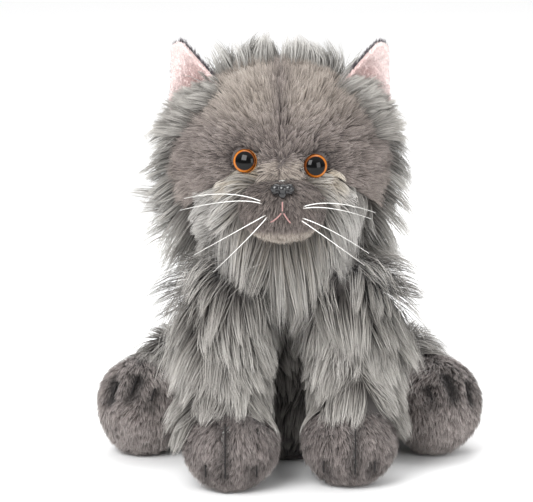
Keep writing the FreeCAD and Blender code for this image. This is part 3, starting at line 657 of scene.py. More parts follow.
def across_face(places):
    """Distance to the cat's left of the middle of the face."""
    return places[:, 0] - HEAD[0]


def tube_skin(name, centres, radii, material, segments=40):
    """A closed, rounded tube of cloth along a line."""
    centres, radii = np.array(centres), np.array(radii)
    tangents = unit(np.gradient(centres, axis=0))
    side = unit(np.cross(tangents, np.array([0.3, 0.2, 1.0]) if abs(tangents[0][2]) < 0.8 else np.array([1.0, 0, 0])))
    other = np.cross(tangents, side)
    angles = np.linspace(0, 2 * math.pi, segments, endpoint=False)
    rings = []
    cap = [math.sin(a) for a in np.linspace(0.15, math.pi / 2, 6)]
    start = [(centres[0] - tangents[0] * radii[0] * (math.sqrt(1 - c * c)), radii[0] * c, 0) for c in cap[:-1]]
    body = [(centres[i], radii[i], i) for i in range(len(centres))]
    last = len(centres) - 1
    end = [(centres[-1] + tangents[-1] * radii[-1] * (math.sqrt(1 - c * c)), radii[-1] * c, last) for c in cap[-2::-1]]
    for centre, radius, i in start + body + end:
        rings.append(
            centre + radius * (np.cos(angles)[:, None] * side[i] + np.sin(angles)[:, None] * other[i])
        )
    vertices = np.concatenate(rings + [[centres[0] - tangents[0] * radii[0]], [centres[-1] + tangents[-1] * radii[-1]]])
    faces = ring_faces(len(rings), segments)
    first, final, top = len(vertices) - 2, len(vertices) - 1, (len(rings) - 1) * segments
    for i in range(segments):
        j = (i + 1) % segments
        faces.append((first, j, i))
        faces.append((final, top + i, top + j))
    made = mesh_object(name, vertices, faces, material)
    outwards(made)
    return made


def outwards(obj):
    """Turns a closed mesh's faces to point outwards."""
    work = bmesh.new()
    work.from_mesh(obj.data)
    bmesh.ops.recalc_face_normals(work, faces=work.faces)
    work.to_mesh(obj.data)
    work.free()
    obj.data.update()


class Capsule:
    """A tapered rod with round ends that pushes hair out to its surface."""

    def __init__(self, start, end, start_radius, end_radius):
        self.start, self.end = np.array(start), np.array(end)
        self.radii = (start_radius, end_radius)

    def push(self, points, room):
        along = self.end - self.start
        t = np.clip(((points - self.start) @ along) / (along @ along), 0, 1)[..., None]
        centre = self.start + t * along
        radius = self.radii[0] * (1 - t) + self.radii[1] * t + room
        away = points - centre
        far = np.linalg.norm(away, axis=-1, keepdims=True)
        return np.where(far < radius, centre + away / np.maximum(far, 1e-9) * radius, points)


TORSO_EGG = Egg(TORSO, TORSO_RADII - PILE)
HEAD_SKIN = HEAD_RADII + np.array([-0.003, -0.004, 0.002])  # the plush stands highest over the crown
HEAD_EGG = Egg(HEAD, HEAD_SKIN)
MUZZLE_EGG = Egg(MUZZLE, MUZZLE_RADII - PILE * np.array([0.4, 1, 0.4]))


def stitch_points(node):
    """Places along a node's threads."""
    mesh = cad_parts[node].data
    found = np.empty(len(mesh.vertices) * 3)
    mesh.vertices.foreach_get("co", found)
    return found.reshape(-1, 3)


def near(points, targets):
    """Distance from each point to the nearest target."""
    return find_nearest(points, targets)[1]


def crease(obj, targets, depth, width):
    """Draws the skin in along lines of thread. Returns which vertices the threads hold."""
    vertices, _, normals = surface_arrays(obj)
    distance = near(vertices, targets)
    pull = depth * MM * np.exp(-((distance / (width * MM)) ** 2))
    put_points(obj, vertices - normals * pull[:, None])
    return distance < width * MM * 0.7


# ---- torso


def make_torso():
    """The body's skin and its long hair, which is short between the front legs and darkened there as painted shade."""

    def shape(directions, places):
        """Lumpy, and flat where it rests on the floor."""
        places = lumpy(directions, places, 1.2, 2.5, 5)
        places[:, 2] = np.maximum(places[:, 2], -TORSO[2] + 0.0012)
        return places

    skin = egg_skin("torso_skin", TORSO, TORSO_RADII - PILE, LONG_SKIN, shape=shape)
    finish_skin(skin, "torso", "torso_cover")

    def flow(places, normals):
        return DOWN + 0.35 * normals * np.array([1, 1, 0]) + swirl(places, 0.25, 45, 11)

    def bottom(places):
        return np.clip((places[:, 2] - 0.006) / 0.02, 0.15, 1)

    def between_legs(places):
        return smooth_step(0.034 - np.abs(places[:, 0]), 0.0, 0.012) * (places[:, 1] < 0)

    def length(places):
        """Shorter between the front legs."""
        return (34 + 10 * smooth_step(places[:, 2], 0.07, 0.11)) * (1 - 0.55 * between_legs(places))

    def shadow(places):
        """Painted shadow: darker hair low down in the gap between the front legs."""
        return 0.85 * between_legs(places) * smooth_step(0.135 - places[:, 2], 0.0, 0.02)

    halves = {"front": lambda p: bottom(p) * (p[:, 1] < 0), "back": lambda p: bottom(p) * (p[:, 1] >= 0)}
    for half, density in halves.items():
        fur(
            f"torso_fur_{half}", skin, "torso", LONG_FUR, "long_fur", 0.62, length, flow,
            lift=0.85, density=density, over=[TORSO_EGG, FLOOR], dark=shadow,
        )


# ---- legs


def toe_crease_shade(threads):
    """Painted shade: dark hair right beside a toe's thread, in the crease that it draws in."""
    return lambda places: 1.6 * np.exp(-((near(places, threads) / 0.0048) ** 2))


def make_paw(name, body, radii, turn, tilt, moved=(0, 0, 0), shade=0.0):
    """A stuffed paw: a puffed skin drawn in by its toe threads, and short plush lying down over it."""
    centre = middle(f"{name}_cover") + np.array(moved)
    threads = stitch_points(f"{name}_toe_stitches")
    skin = egg_skin(
        f"{name}_skin", centre, radii - PILE, PAW_SKIN, turn, 4,
        shape=lambda d, p: lumpy(d, p, 0.8, 2.2, len(name)),
    )
    held = crease(skin, threads, 4.2, 4.2)
    stuffed(skin, held, frames=8, cap=1.6)
    finish_skin(skin, body, f"{name}_cover")

    def flow(places, normals):
        return DOWN + np.array(tilt) + swirl(places, 0.35, 30, 3) + normals * 0.1

    def length(places):
        return 8.0 - 4.8 * np.exp(-((near(places, threads) / 0.0055) ** 2))

    fur(
        f"{name}_plush", skin, body, PAW_FUR, "paw_plush", 2.6, length, flow, width=0.42, steps=3,
        locks=((8, 0.5), (30, 0.25)), lift=1.25, droop=0.25, light=toe_crease_shade(threads), dark=constant(shade),
        over=[FLOOR], room=0.4, spread=0.25,
    )
    return Egg(centre, radii, turn)


def leg_line(side):
    """The shoulder and the cuff of a front leg, from its cover's box."""
    name = "left" if side > 0 else "right"
    top = corners(f"{name}_front_leg_cover")[1][2]
    paw = middle(f"{name}_front_paw_cover")
    shoulder = np.array([side * 0.041, -0.059, top - 0.024])
    cuff = np.array([side * 0.043, paw[1] + 0.009, paw[2] + 0.015])
    return shoulder, cuff


SHOULDER_RADIUS, CUFF_RADIUS = 0.024, 0.030


def make_front_leg(name, side):
    """A stuffed leg from the shoulder to the cuff, its paw, and long hair that hangs over both."""
    body = f"{name}_front_leg"
    shoulder, cuff = leg_line(side)
    radii = half_size(f"{name}_front_paw_cover")
    paw = make_paw(f"{name}_front_paw", body, radii, np.eye(3), (side * 0.3, -0.3, 0), shade=0.5)
    t = np.linspace(0, 1, 12)[:, None]
    centres = shoulder * (1 - t) + cuff * t
    thick = (SHOULDER_RADIUS * (1 - t) + CUFF_RADIUS * t)[:, 0] - PILE
    skin = tube_skin(f"{name}_front_leg_skin", centres, thick, LONG_SKIN)
    finish_skin(skin, body, f"{name}_front_leg_cover")
    own = Capsule(shoulder, cuff, SHOULDER_RADIUS - PILE, CUFF_RADIUS - PILE)

    def flow(places, normals):
        """Forward off the shoulder, then down the leg, fanning out to both sides."""
        top = smooth_step(places[:, 2:3], shoulder[2] - 0.006, shoulder[2] + 0.014)
        outside = (places[:, 0:1] - cuff[0]) * (16 + 14 * smooth_step(places[:, 2:3], 0.09, 0.13)) * (1 - 0.75 * top)
        fan = np.concatenate([outside, -0.12 - 1.1 * top, 0 * top], axis=1)
        return DOWN + fan + swirl(places, 0.3, 40, 7 + side)

    def density(places):
        """None right round the paw, and thin against the torso and under the ruff."""
        sides = smooth_step(np.abs(places[:, 0] - cuff[0]), 0.012, 0.022)
        sides = sides + smooth_step(places[:, 1], cuff[1] - 0.01, cuff[1])
        lower = smooth_step(places[:, 2] + 0.016 * np.clip(sides, 0, 1), 0.062, 0.078)
        under_ruff = smooth_step(places[:, 2], shoulder[2] + 0.002, shoulder[2] + 0.012)
        under_ruff = under_ruff * smooth_step(side * (cuff[0] - places[:, 0]), -0.006, 0.004)
        return lower * np.where(places[:, 1] > shoulder[1] + 0.012, 0.5, 1.0) * (1 - 0.9 * under_ruff)

    def inner(places):
        return smooth_step(side * (cuff[0] - places[:, 0]), 0.006, 0.018)

    def length(places):
        return (33 + 21 * smooth_step(places[:, 2], 0.08, 0.13)) * (1 - 0.3 * inner(places))

    def rise(places):
        return (0.70 + 0.35 * smooth_step(places[:, 2], 0.085, 0.135)) * (1 - 0.4 * inner(places))

    def behind_line(places):
        """How far behind the leg's own middle line each place is."""
        fallen = (shoulder[2] - places[:, 2]) / (shoulder[2] - cuff[2])
        return places[:, 1] - (shoulder[1] + fallen * (cuff[1] - shoulder[1]))

    for half, sign in (("front", -1), ("back", 1)):
        fur(
            f"{name}_front_leg_fur_{half}", skin, body, LONG_FUR, "long_fur", 0.95, length, flow,
            lift=rise, droop=0.5, density=lambda p: density(p) * (behind_line(p) * sign > 0),
            over=[own, paw, FLOOR], light=constant(0.02), room=1.0, locks=((16, 0.75), (110, 0.6)),
        )


def make_hind_leg(name, side):
    """A stuffed thigh with long hair, and a round paw that faces forward and outwards."""
    body = f"{name}_hind_leg"
    turn = turn_z(side * 28)
    radii = half_size(f"{name}_hind_paw_cover") * np.array([1.03, 1, 1.10])
    moved = (side * 0.0035, 0, 0.0035)
    paw = make_paw(f"{name}_hind_paw", body, radii, turn, (side * 0.1, -0.35, 0), moved)
    centre, radii = middle(f"{name}_thigh_cover"), half_size(f"{name}_thigh_cover")
    skin = egg_skin(f"{name}_thigh_skin", centre, radii - PILE, LONG_SKIN, level=4)
    finish_skin(skin, body, f"{name}_thigh_cover")

    def flow(places, normals):
        """Down and outwards, and a little to the back."""
        return DOWN + np.array([side * 0.55, 0.2, 0]) + 0.3 * normals + swirl(places, 0.3, 35, 9 + side)

    def density(places):
        """None where the paw is sewn on."""
        return (near_egg(places, paw) > 0.004) * smooth_step(places[:, 2], 0.008, 0.022)

    fur(
        f"{name}_thigh_fur", skin, body, LONG_FUR, "long_fur", 0.85, constant(31), flow,
        lift=0.7, droop=0.4, density=density, over=[Egg(centre, radii - PILE), paw, FLOOR], room=1.0,
    )


def near_egg(places, egg):
    """About how far outside an egg each place is."""
    local = (places - egg.centre) @ egg.turn
    return (np.linalg.norm(local / egg.radii, axis=1) - 1) * egg.radii.mean()


# ---- tail


TAIL_BEND = 0.070  # radius of the tail's middle line
TAIL_Y = 0.067  # where the tail leaves the torso
TAIL_SWEEP = 55  # degrees that it bends through


def make_tail():
    """The tail lies on the floor and curls to the cat's right."""
    radius = half_size("tail_cover")[2]
    bend = np.array([-TAIL_BEND, TAIL_Y, middle("tail_cover")[2]])
    sweep = np.radians(np.linspace(0, TAIL_SWEEP, 16))
    centres = bend + TAIL_BEND * np.stack([np.cos(sweep), np.sin(sweep), 0 * sweep], axis=1)
    skin = tube_skin("tail_skin", centres, np.full(len(sweep), radius - PILE), LONG_SKIN, 32)
    finish_skin(skin, "tail", "tail_cover")

    def flow(places, normals):
        """Along the tail to its tip."""
        spoke = (places - bend) * np.array([1, 1, 0])
        return unit(np.cross(UP, spoke)) + 0.25 * normals + 0.15 * DOWN + swirl(places, 0.25, 30, 21)

    fur(
        "tail_fur", skin, "tail", LONG_FUR, "long_fur", 0.9, constant(29), flow, lift=0.6, droop=0.25,
        over=[FLOOR], density=lambda p: np.where(p[:, 2] < 0.006, 0.3, 1.0),
    )


# ---- head


def keep_side(obj, plane_y, front):
    """Cuts a skin on an upright plane and tucks its edge in, as the cloth is at a seam."""
    work = bmesh.new()
    work.from_mesh(obj.data)
    everything = work.verts[:] + work.edges[:] + work.faces[:]
    bmesh.ops.bisect_plane(
        work, geom=everything, plane_co=(0, plane_y, 0), plane_no=(0, 1, 0), clear_outer=front, clear_inner=not front
    )
    for vertex in work.verts:
        if abs(vertex.co.y - plane_y) < 1e-5:
            vertex.co.x += (HEAD[0] - vertex.co.x) * 0.05
            vertex.co.z += (HEAD[2] - vertex.co.z) * 0.05
    work.to_mesh(obj.data)
    work.free()
    obj.data.update()


BRIDGE = np.array([MUZZLE[0], HEAD[1] - HEAD_RADII[1], NOSE[2] + 0.016])
EYES = {name: middle(f"{name}_eye_pupil") for name in SIDES}
MOUTH = stitch_points("mouth_stitching")


def eye_distance(places):
    """Distance to the nearer eye's middle, seen from the front."""
    flat = np.array([1, 0.35, 1])
    return np.min([np.linalg.norm((places - eye) * flat, axis=1) for eye in EYES.values()], axis=0)


def ruff_line(places):
    """How far each place on the face is below the line where the long ruff starts."""
    away = np.abs(places[:, 0] - MUZZLE[0])
    return (BRIDGE[2] - 0.0005) - 9.0 * away**2 - places[:, 2]


def muzzle_share(places):
    """One on the muzzle's outline seen from the front, and less inside it."""
    flat = (places - MUZZLE) / (MUZZLE_RADII + 0.001)
    return np.linalg.norm(flat * np.array([1, 0, 1]), axis=1)


def face_flow(places, _normals):
    """The short plush of the face runs out and up from the bridge of the nose."""
    out = (places - BRIDGE) * np.array([1, 0, 1])
    return unit(out) + swirl(places, 0.18, 22, 31) + np.array([0, 0.25, 0])


def make_face():
    """The face's skin and its short plush. Returns the skin."""
    skin = egg_skin("face_skin", HEAD, HEAD_SKIN, FACE_SKIN)
    keep_side(skin, FACE_HIGH[1], True)
    crease(skin, np.array(list(EYES.values())), 3.5, 11.0)
    finish_skin(skin, "head", "face_cover")

    def rim_share(places):
        """Rises to one towards the outline of the face."""
        flat = (places - HEAD) / HEAD_RADII
        return smooth_step(np.hypot(flat[:, 0], flat[:, 2]), 0.62, 0.95)

    def part(places):
        clear_eye = smooth_step(eye_distance(places), 0.0080, 0.0092)
        above_ruff = (ruff_line(places) < 0) | (np.abs(places[:, 0] - MUZZLE[0]) < 0.0145)
        return above_ruff * clear_eye * (muzzle_share(places) > 0.8)

    def length(places):
        close = np.exp(-(((eye_distance(places) - 0.008) / 0.006) ** 2))
        bridge = np.exp(-((np.linalg.norm(places - BRIDGE, axis=1) / 0.014) ** 2))
        return 9.0 - 5.0 * close - 4.2 * bridge + 6.5 * rim_share(places)

    def lift(places):
        return 0.55 + 0.7 * rim_share(places)

    def light(places):
        high = smooth_step(places[:, 2], HEAD[2] + 0.022, HEAD[2] + 0.05)
        parting = np.exp(-((across_face(places) / 0.005) ** 2))
        patch = np.abs(places[:, 0] - MUZZLE[0]) < 0.0135
        bridge = patch * smooth_step(BRIDGE[2] + 0.001 - places[:, 2], 0.0, 0.002)
        low = smooth_step(HEAD[2] + 0.012 - places[:, 2], 0.0, 0.03)
        cheek = low * smooth_step(np.abs(across_face(places)), 0.04, 0.06)
        return 0.03 + 0.75 * high * (1 - 0.9 * parting) + 0.85 * bridge + 0.25 * cheek

    def dark(places):
        """Shadowed hair round the eyes."""
        return 0.75 * np.exp(-((np.maximum(eye_distance(places) - 0.0085, 0) / 0.006) ** 2))

    fur_in_halves(
        "face_plush", skin, "head", SHORT_FUR, "face_plush", 2.4, length, face_flow, width=0.42, steps=3,
        locks=((10, 0.6), (60, 0.35)), lift=lift, droop=0.0, spread=0.18, density=part, light=light, dark=dark,
        over=[HEAD_EGG], room=0.5,
    )
    return skin


def make_ruff(skin):
    """The long ruff that starts under the eyes and runs out and down round the muzzle."""

    def part(places):
        clear_eye = smooth_step(eye_distance(places), 0.0080, 0.0095)
        outside = (np.abs(places[:, 0] - MUZZLE[0]) >= 0.0145) | (places[:, 2] < MUZZLE[2])
        return (ruff_line(places) >= 0) * (muzzle_share(places) > 0.9) * clear_eye * outside

    def flow(places, normals):
        out = unit((places - MUZZLE - np.array([0, 0, 0.012])) * np.array([1, 0, 1]))
        lower = smooth_step(MUZZLE[2] - places[:, 2], -0.012, 0.018)[:, None]
        return out * (1.1 - 0.5 * lower) + DOWN * (0.22 + 0.95 * lower) + swirl(places, 0.42, 24, 41)

    def length(places):
        depth = ruff_line(places)
        return 13 + 27 * smooth_step(depth, 0.0, 0.025) + 22 * smooth_step(depth, 0.03, 0.06)

    def light(places):
        depth = ruff_line(places)
        away = np.abs(places[:, 0] - MUZZLE[0])
        return 1.0 - 0.9 * smooth_step(depth, 0.003, 0.013) - 0.9 * smooth_step(away, 0.026, 0.045)

    fur_in_halves(
        "ruff", skin, "head", RUFF_FUR, "long_fur", 1.15, length, flow, width=0.5, locks=((16, 0.75), (130, 0.6)),
        lift=lambda p: 0.3 + 0.6 * smooth_step(ruff_line(p), 0.01, 0.05), droop=0.5, light=light, density=part,
        over=[HEAD_EGG, MUZZLE_EGG], room=1.0,
    )


def make_head_back():
    """The long-pile back of the head, whose hair frames the face."""
    skin = egg_skin("head_back_skin", HEAD, HEAD_SKIN, LONG_SKIN)
    keep_side(skin, BACK_LOW[1], False)
    finish_skin(skin, "head", "head_back_cover")

    def flow(places, normals):
        """Out and down at the sides, and up and back over the crown."""
        local = (places - HEAD) / HEAD_RADII
        crown = smooth_step(local[:, 2], 0.45, 0.95)[:, None]
        outwards_share = np.sign(local[:, 0]) * np.abs(local[:, 0]) ** 0.7
        side = np.stack([outwards_share, 0.3 + 0 * outwards_share, 0 * outwards_share], axis=1)
        fall = 0.2 + 0.55 * smooth_step(-local[:, 2:3], -0.4, 0.6) - 1.05 * crown
        return side * (0.9 - 0.6 * crown) + DOWN * fall + np.array([0, 0.35, 0]) * crown + swirl(places, 0.35, 35, 51)

    def lift(places):
        local = (places - HEAD) / HEAD_RADII
        edge = smooth_step(places[:, 1], HEAD[1] + 0.03, HEAD[1] - 0.005)
        return 0.6 + 0.8 * edge + 0.6 * smooth_step(local[:, 2], 0.6, 1.0)

    def length(places):
        local = (places - HEAD) / HEAD_RADII
        return 36 - 5 * smooth_step(local[:, 2], 0.5, 0.95) + 17 * smooth_step(-local[:, 2], 0.1, 0.6)

    def density(places):
        """Less hair under the head, where it rests on the neck."""
        return smooth_step(places[:, 2], HEAD_EGG.centre[2] - 0.061, HEAD_EGG.centre[2] - 0.05)

    fur_in_halves(
        "head_fur", skin, "head", LONG_FUR, "long_fur", 1.0, length, flow, lift=lift, droop=0.3, density=density,
        over=[HEAD_EGG], room=1.0, light=lambda p: 0.25 + 0.35 * smooth_step(p[:, 2], HEAD[2] + 0.02, HEAD[2] + 0.06),
    )


def make_muzzle():
    """The puffed muzzle, drawn in at the mouth and the nose, with very short plush."""
    skin = egg_skin("muzzle_skin", MUZZLE, MUZZLE_RADII - PILE * np.array([0.4, 1, 0.4]), FACE_SKIN)
    held = crease(skin, MOUTH, 2.6, 3.6)
    stuffed(skin, held, frames=8, cap=1.4)
    crease(skin, NOSE[None, :], 0.5, 6.0)
    finish_skin(skin, "head", "muzzle_cover")

    def flow(places, normals):
        out = (places - NOSE - np.array([0, 0, 0.006])) * np.array([1, 0.2, 1])
        return unit(out) + 0.35 * DOWN + swirl(places, 0.2, 16, 61)

    def density(places):
        clear_nose = smooth_step(np.linalg.norm((places - NOSE) * np.array([0.85, 0.4, 1.4]), axis=1), 0.0048, 0.0060)
        return clear_nose * (near(places, MOUTH) > 0.0011) * (near_egg(places, HEAD_EGG) > -0.002)

    def length(places):
        line = np.exp(-((near(places, MOUTH) / 0.0035) ** 2))
        close = np.exp(-((np.linalg.norm(places - NOSE, axis=1) / 0.010) ** 2))
        return 6.0 - 2.2 * line - 2.6 * close

    def light(places):
        chin = smooth_step(MUZZLE[2] - 0.009 - places[:, 2], 0.0, 0.005)
        bridge = smooth_step(places[:, 2], NOSE[2] + 0.002, NOSE[2] + 0.008)
        line = np.exp(-((near(places, MOUTH) / 0.0035) ** 2))
        return 0.04 + 1.2 * chin + 0.8 * bridge - 0.4 * line

    def dark(places):
        """Shadowed hair on the cheeks of the muzzle, between the bridge and the chin."""
        chin = smooth_step(MUZZLE[2] - 0.009 - places[:, 2], 0.0, 0.005)
        bridge = smooth_step(places[:, 2], NOSE[2] + 0.002, NOSE[2] + 0.008)
        return 0.45 * np.clip(1 - chin - bridge, 0, 1)

    fur(
        "muzzle_plush", skin, "head", SHORT_FUR, "face_plush", 3.4, length, flow, width=0.38, steps=3,
        locks=((9, 0.5), (50, 0.25)), lift=0.75, droop=0.15, spread=0.2, density=density, light=light, dark=dark,
        over=[MUZZLE_EGG], room=0.4,
    )


# ---- ears


def soft_copy(node, name, material, cell, fluff):
    """A CAD sheet as soft cloth: its own shape with rounded edges, a little fuller."""
    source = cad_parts[node].data
    made = bpy.data.objects.new(name, source.copy())
    made.data.materials.clear()
    made.data.materials.append(material)
    bpy.context.scene.collection.objects.link(made)
    melt(made, cell, 6)
    vertices, _, normals = surface_arrays(made)
    put_points(made, vertices + normals * fluff * MM)
    return made


def make_ear(name, side):
    """A dark plush back and a pink lining with a soft rolled rim round its hollow."""
    body = f"{name}_ear"
    ahead = turn_z(side * 18) @ np.array([0, -1.0, 0])
    back_node, lining_node = f"{name}_ear_back", f"{name}_ear_lining"
    back = soft_copy(back_node, f"{back_node}_skin", EAR_SKIN, 0.8, 0.1)
    finish_skin(back, body, back_node)
    lining = soft_copy(lining_node, f"{lining_node}_skin", PINK_SKIN, 0.8, 0.25)
    finish_skin(lining, body, lining_node)
    low, high = corners(f"{name}_ear_lining")
    core = (low + high) / 2
    roll_rim(lining, ahead, core)

    def up_flow(places, normals):
        out = (places - core) * np.array([1, 0, 1])
        return UP + 25 * out + swirl(places, 0.2, 20, 71)

    fur(
        f"{name}_ear_back_pile", back, body, EAR_FUR, "ear_cloth", 2.2, constant(4.5), up_flow, width=0.42, steps=2,
        locks=((8, 0.4),), lift=0.9, droop=0.0, spread=0.25, density=ear_rim(back, ahead, 0.45),
    )

    # Painted shade: the pink pile darkens towards the middle of the lining's hollow.
    def hollow(places):
        deep = 1 - np.linalg.norm((places - core) / (high - low) * np.array([2.3, 0, 2.1]), axis=1)
        return 1.6 * np.clip(deep, 0, 1)

    fur(
        f"{name}_ear_lining_pile", lining, body, PINK_PILE, "ear_pink", 3.2, constant(1.9), up_flow,
        width=0.40, steps=2, locks=((8, 0.3),), lift=0.9, droop=0.0, spread=0.3, light=hollow, taper=0.6,
    )


def roll_rim(lining, ahead, core):
    """Fills out the lining's border into a soft roll round its hollow."""
    vertices, _, normals = surface_arrays(lining)
    low, high = vertices.min(axis=0), vertices.max(axis=0)
    share = np.linalg.norm((vertices - core) / (high - low) * np.array([2, 0, 2]), axis=1)
    rim = smooth_step(share, 0.45, 0.85) * (normals @ ahead > 0.1)
    put_points(lining, vertices + rim[:, None] * ahead * 2.0 * MM)


def ear_rim(skin, ahead, most):
    """Keeps hair off the side of an ear's back that the lining covers."""
    vertices, _, normals = surface_arrays(skin)

    def density(places):
        at, _ = find_nearest(places, vertices)
        return (normals[at] @ ahead < most).astype(float)

    return density


def make_ear_tufts(name, side):
    """Long hair that starts on the head in front of an ear and streams up and out over the lining's lower half."""
    rng = rng_for(f"{name}_tuft_roots")
    count = 6500
    span = rng.random(count)
    angle = np.radians(35 + 36 * span)
    ahead = -(0.006 + 0.013 * rng.random(count))
    ring = np.sqrt(1 - (ahead / HEAD_EGG.radii[1]) ** 2)
    wide, _, tall = HEAD_EGG.radii
    roots = HEAD + np.stack([side * np.sin(angle) * ring * wide, ahead, np.cos(angle) * ring * tall], axis=1)
    normals = unit((roots - HEAD) / HEAD_RADII**2)
    heading = np.stack([side * (0.30 + 0.85 * span), -0.16 + 0.1 * span, 1.0 - 0.55 * span], axis=1)
    heading = unit(heading + swirl(roots, 0.5, 14, 81) + rng.normal(size=(count, 3)) * 0.12)
    length = (25 + 3 * span) * rng.uniform(0.45, 1.1, count) * MM
    t = np.linspace(0, 1, 6)[None, :, None]
    bend = np.array([side * 0.25, 0.25, -0.12]) * (length[:, None, None] * t * t)
    lines = roots[:, None, :] + heading[:, None, :] * (length[:, None, None] * t) + bend
    tone = 0.30 * rng.random(count)
    for hairs_each, strength in ((16, 0.75), (90, 0.65)):
        lines, chosen = clump(lines, hairs_each, strength, rng, 1.3)
        tone = tone + 0.32 * rng.random(chosen.max() + 1)[chosen]
    facing = unit(np.array([0, -1.0, 0.2]) + 0.3 * normals)
    widths = 0.45 * MM * (0.7 + 0.6 * rng.random(count))
    made = ribbons(f"{name}_ear_tufts", lines, facing, widths, LONG_FUR, tone, 0.08 + 0.1 * rng.normal(size=count), rng)
    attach(made, "head")


# ---- eyes, nose and whiskers


def eye_material():
    """A glossy eye: black pupil, orange iris, and a darker outer edge."""
    material, tree, shader = principled("eye_dome")
    pupil, edge = (tree.nodes.new("ShaderNodeAttribute") for _ in range(2))
    pupil.attribute_name, edge.attribute_name = "pupil", "edge"
    black, orange = (0.002, 0.002, 0.002), (0.52, 0.165, 0.014)
    rings = [(0.0, black), (0.76, black), (0.80, (0.34, 0.09, 0.008)), (0.87, orange)]
    colour = ramp(tree, pupil.outputs["Fac"], rings)
    streaks = ramp(tree, noise(tree, 900.0, 3.0), [(0.3, (0.80, 0.78, 0.75)), (0.7, (1.0, 1.0, 1.0))])
    colour = mix_colour(tree, "MULTIPLY", 1.0, colour, streaks)
    rim = ramp(tree, edge.outputs["Fac"], [(0.84, (1.0, 1.0, 1.0)), (0.97, (0.14, 0.10, 0.08))])
    tree.links.new(mix_colour(tree, "MULTIPLY", 1.0, colour, rim), shader.inputs["Base Color"])
    shader.inputs["Roughness"].default_value = 0.05
    shader.inputs["Specular IOR Level"].default_value = 0.22
    return material


EYE_DOME = eye_material()


def make_eye(name, side):
    """The domed lens with its painted pupil and iris showing through."""
    low, high = corners(f"{name}_eye_lens")
    centre = EYES[name]
    ahead = unit((centre - HEAD) / HEAD_RADII**2)
    right = unit(np.cross(UP, ahead))
    above = np.cross(ahead, right)
    radius, height = (high[2] - low[2]) / 2 * 1.02, 0.0056
    shares = np.sin(np.linspace(0, math.pi / 2, 22))
    segments = 64
    angles = np.linspace(0, 2 * math.pi, segments, endpoint=False)
    rings = [(share, height * math.sqrt(1 - share**2)) for share in shares] + [(1.0, -0.0012)]
    vertices, pupil, edge = [], [], []
    for share, rise in rings:
        for angle in angles:
            u, v = share * math.cos(angle), share * math.sin(angle)
            vertices.append(centre + (right * u + above * v) * radius + ahead * (rise - 0.0006))
            inwards = np.array([u, v]) - np.array([-side * 0.13, 0.02])
            pupil.append(np.linalg.norm(inwards))
            edge.append(share)
    faces = ring_faces(len(rings), segments)
    faces.append(tuple((len(rings) - 1) * segments + i for i in range(segments)))
    made = mesh_object(f"{name}_eye_dome", vertices, faces, EYE_DOME)
    for label, values in (("pupil", pupil), ("edge", edge)):
        made.data.attributes.new(label, "FLOAT", "POINT").data.foreach_set("value", np.array(values, np.float32))
    outwards(made)
    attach(made, "head")
    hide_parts(f"{name}_eye_lens")



def make_nose():
    """A moulded nose: two round wings, a ridge between them and a narrow foot."""
    ahead = unit(np.array([0, -1.0, 0.3]))
    right = np.array([1.0, 0, 0])
    up = np.cross(ahead, right) if np.cross(ahead, right)[2] > 0 else np.cross(right, ahead)
    axes = np.stack([right, up, ahead], axis=1)
    lobes = [((0, 0.9, -0.2), (3.4, 3.5, 3.7)), ((0, -2.0, -0.5), (2.5, 3.2, 3.0))]
    for side in (-1, 1):
        lobes += [((side * 3.9, 1.3, -0.6), (3.5, 3.3, 3.4)), ((side * 4.4, -0.4, -1.4), (2.5, 2.2, 2.4))]
    unit_ball, faces = ball_mesh(4)
    vertices, triangles = [], []
    for centre, radii in lobes:
        start = sum(len(v) for v in vertices)
        vertices.append((unit_ball * radii + centre) * MM * np.array([1.14, 1.08, 1.0]))
        triangles += [[i + start for i in f] for f in faces]
    places = np.concatenate(vertices) @ axes.T + NOSE
    made = mesh_object("nose_moulding", places, triangles, NOSE_GLOSS)
    melt(made, 0.28, 14)
    places, _, normals = surface_arrays(made)
    for x in (-3.3, 3.3):
        nostril = NOSE + axes @ (np.array([x, -1.0, 1.8]) * MM)
        distance = np.linalg.norm((places - nostril) @ axes * np.array([0.8, 1.5, 0.6]), axis=1)
        places = places - normals * (1.2 * MM * np.exp(-((distance / 0.0011) ** 2)))[:, None]
    own = (places - NOSE) @ axes
    groove = np.exp(-((own[:, 0] / 0.0005) ** 2)) * (own[:, 1] < -0.0005)
    put_points(made, places - normals * (0.35 * MM * groove)[:, None])
    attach(made, "head")
    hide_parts("nose")


# each whisker's root across and up on the muzzle, then its middle and tip as offsets from the muzzle's centre (mm)
WHISKERS = {
    "left": [
        ((14.0, 3.6), (36, -14, 5.5), (64, 6, -5.0)),
        ((14.0, 2.4), (34, -17, 2.5), (61, 2, -8.5)),
        ((13.0, -4.0), (34, -20, -12.5), (59, -10, -30)),
        ((12.5, -5.6), (31, -22, -17.5), (56, -14, -37.5)),
    ],
    "right": [
        ((14.0, 7.0), (38, -14, 12.0), (67, 6, 5.0)),
        ((14.0, 5.6), (36, -17, 7.5), (70, 2, -2.5)),
        ((11.5, -2.0), (31, -20, -12.5), (60, -10, -31)),
        ((10.5, -3.4), (25, -22, -18.5), (47, -14, -42)),
    ],
}


def whisker_line(side, whisker):
    """A smooth line through a whisker's root, middle and tip."""
    (dx, dz), bend, tip = whisker
    deep = -math.sqrt(1 - (dx * MM / MUZZLE_RADII[0]) ** 2 - (dz * MM / MUZZLE_RADII[2]) ** 2) * MUZZLE_RADII[1] + 0.003
    root = np.array([side * dx * MM, deep, dz * MM])
    bend, tip = (np.array(p) * np.array([side, 1, 1]) * MM for p in (bend, tip))
    control = 2 * bend - (root + tip) / 2
    t = np.linspace(0, 1, 25)[:, None]
    return MUZZLE + root * (1 - t) ** 2 + control * 2 * t * (1 - t) + tip * t**2


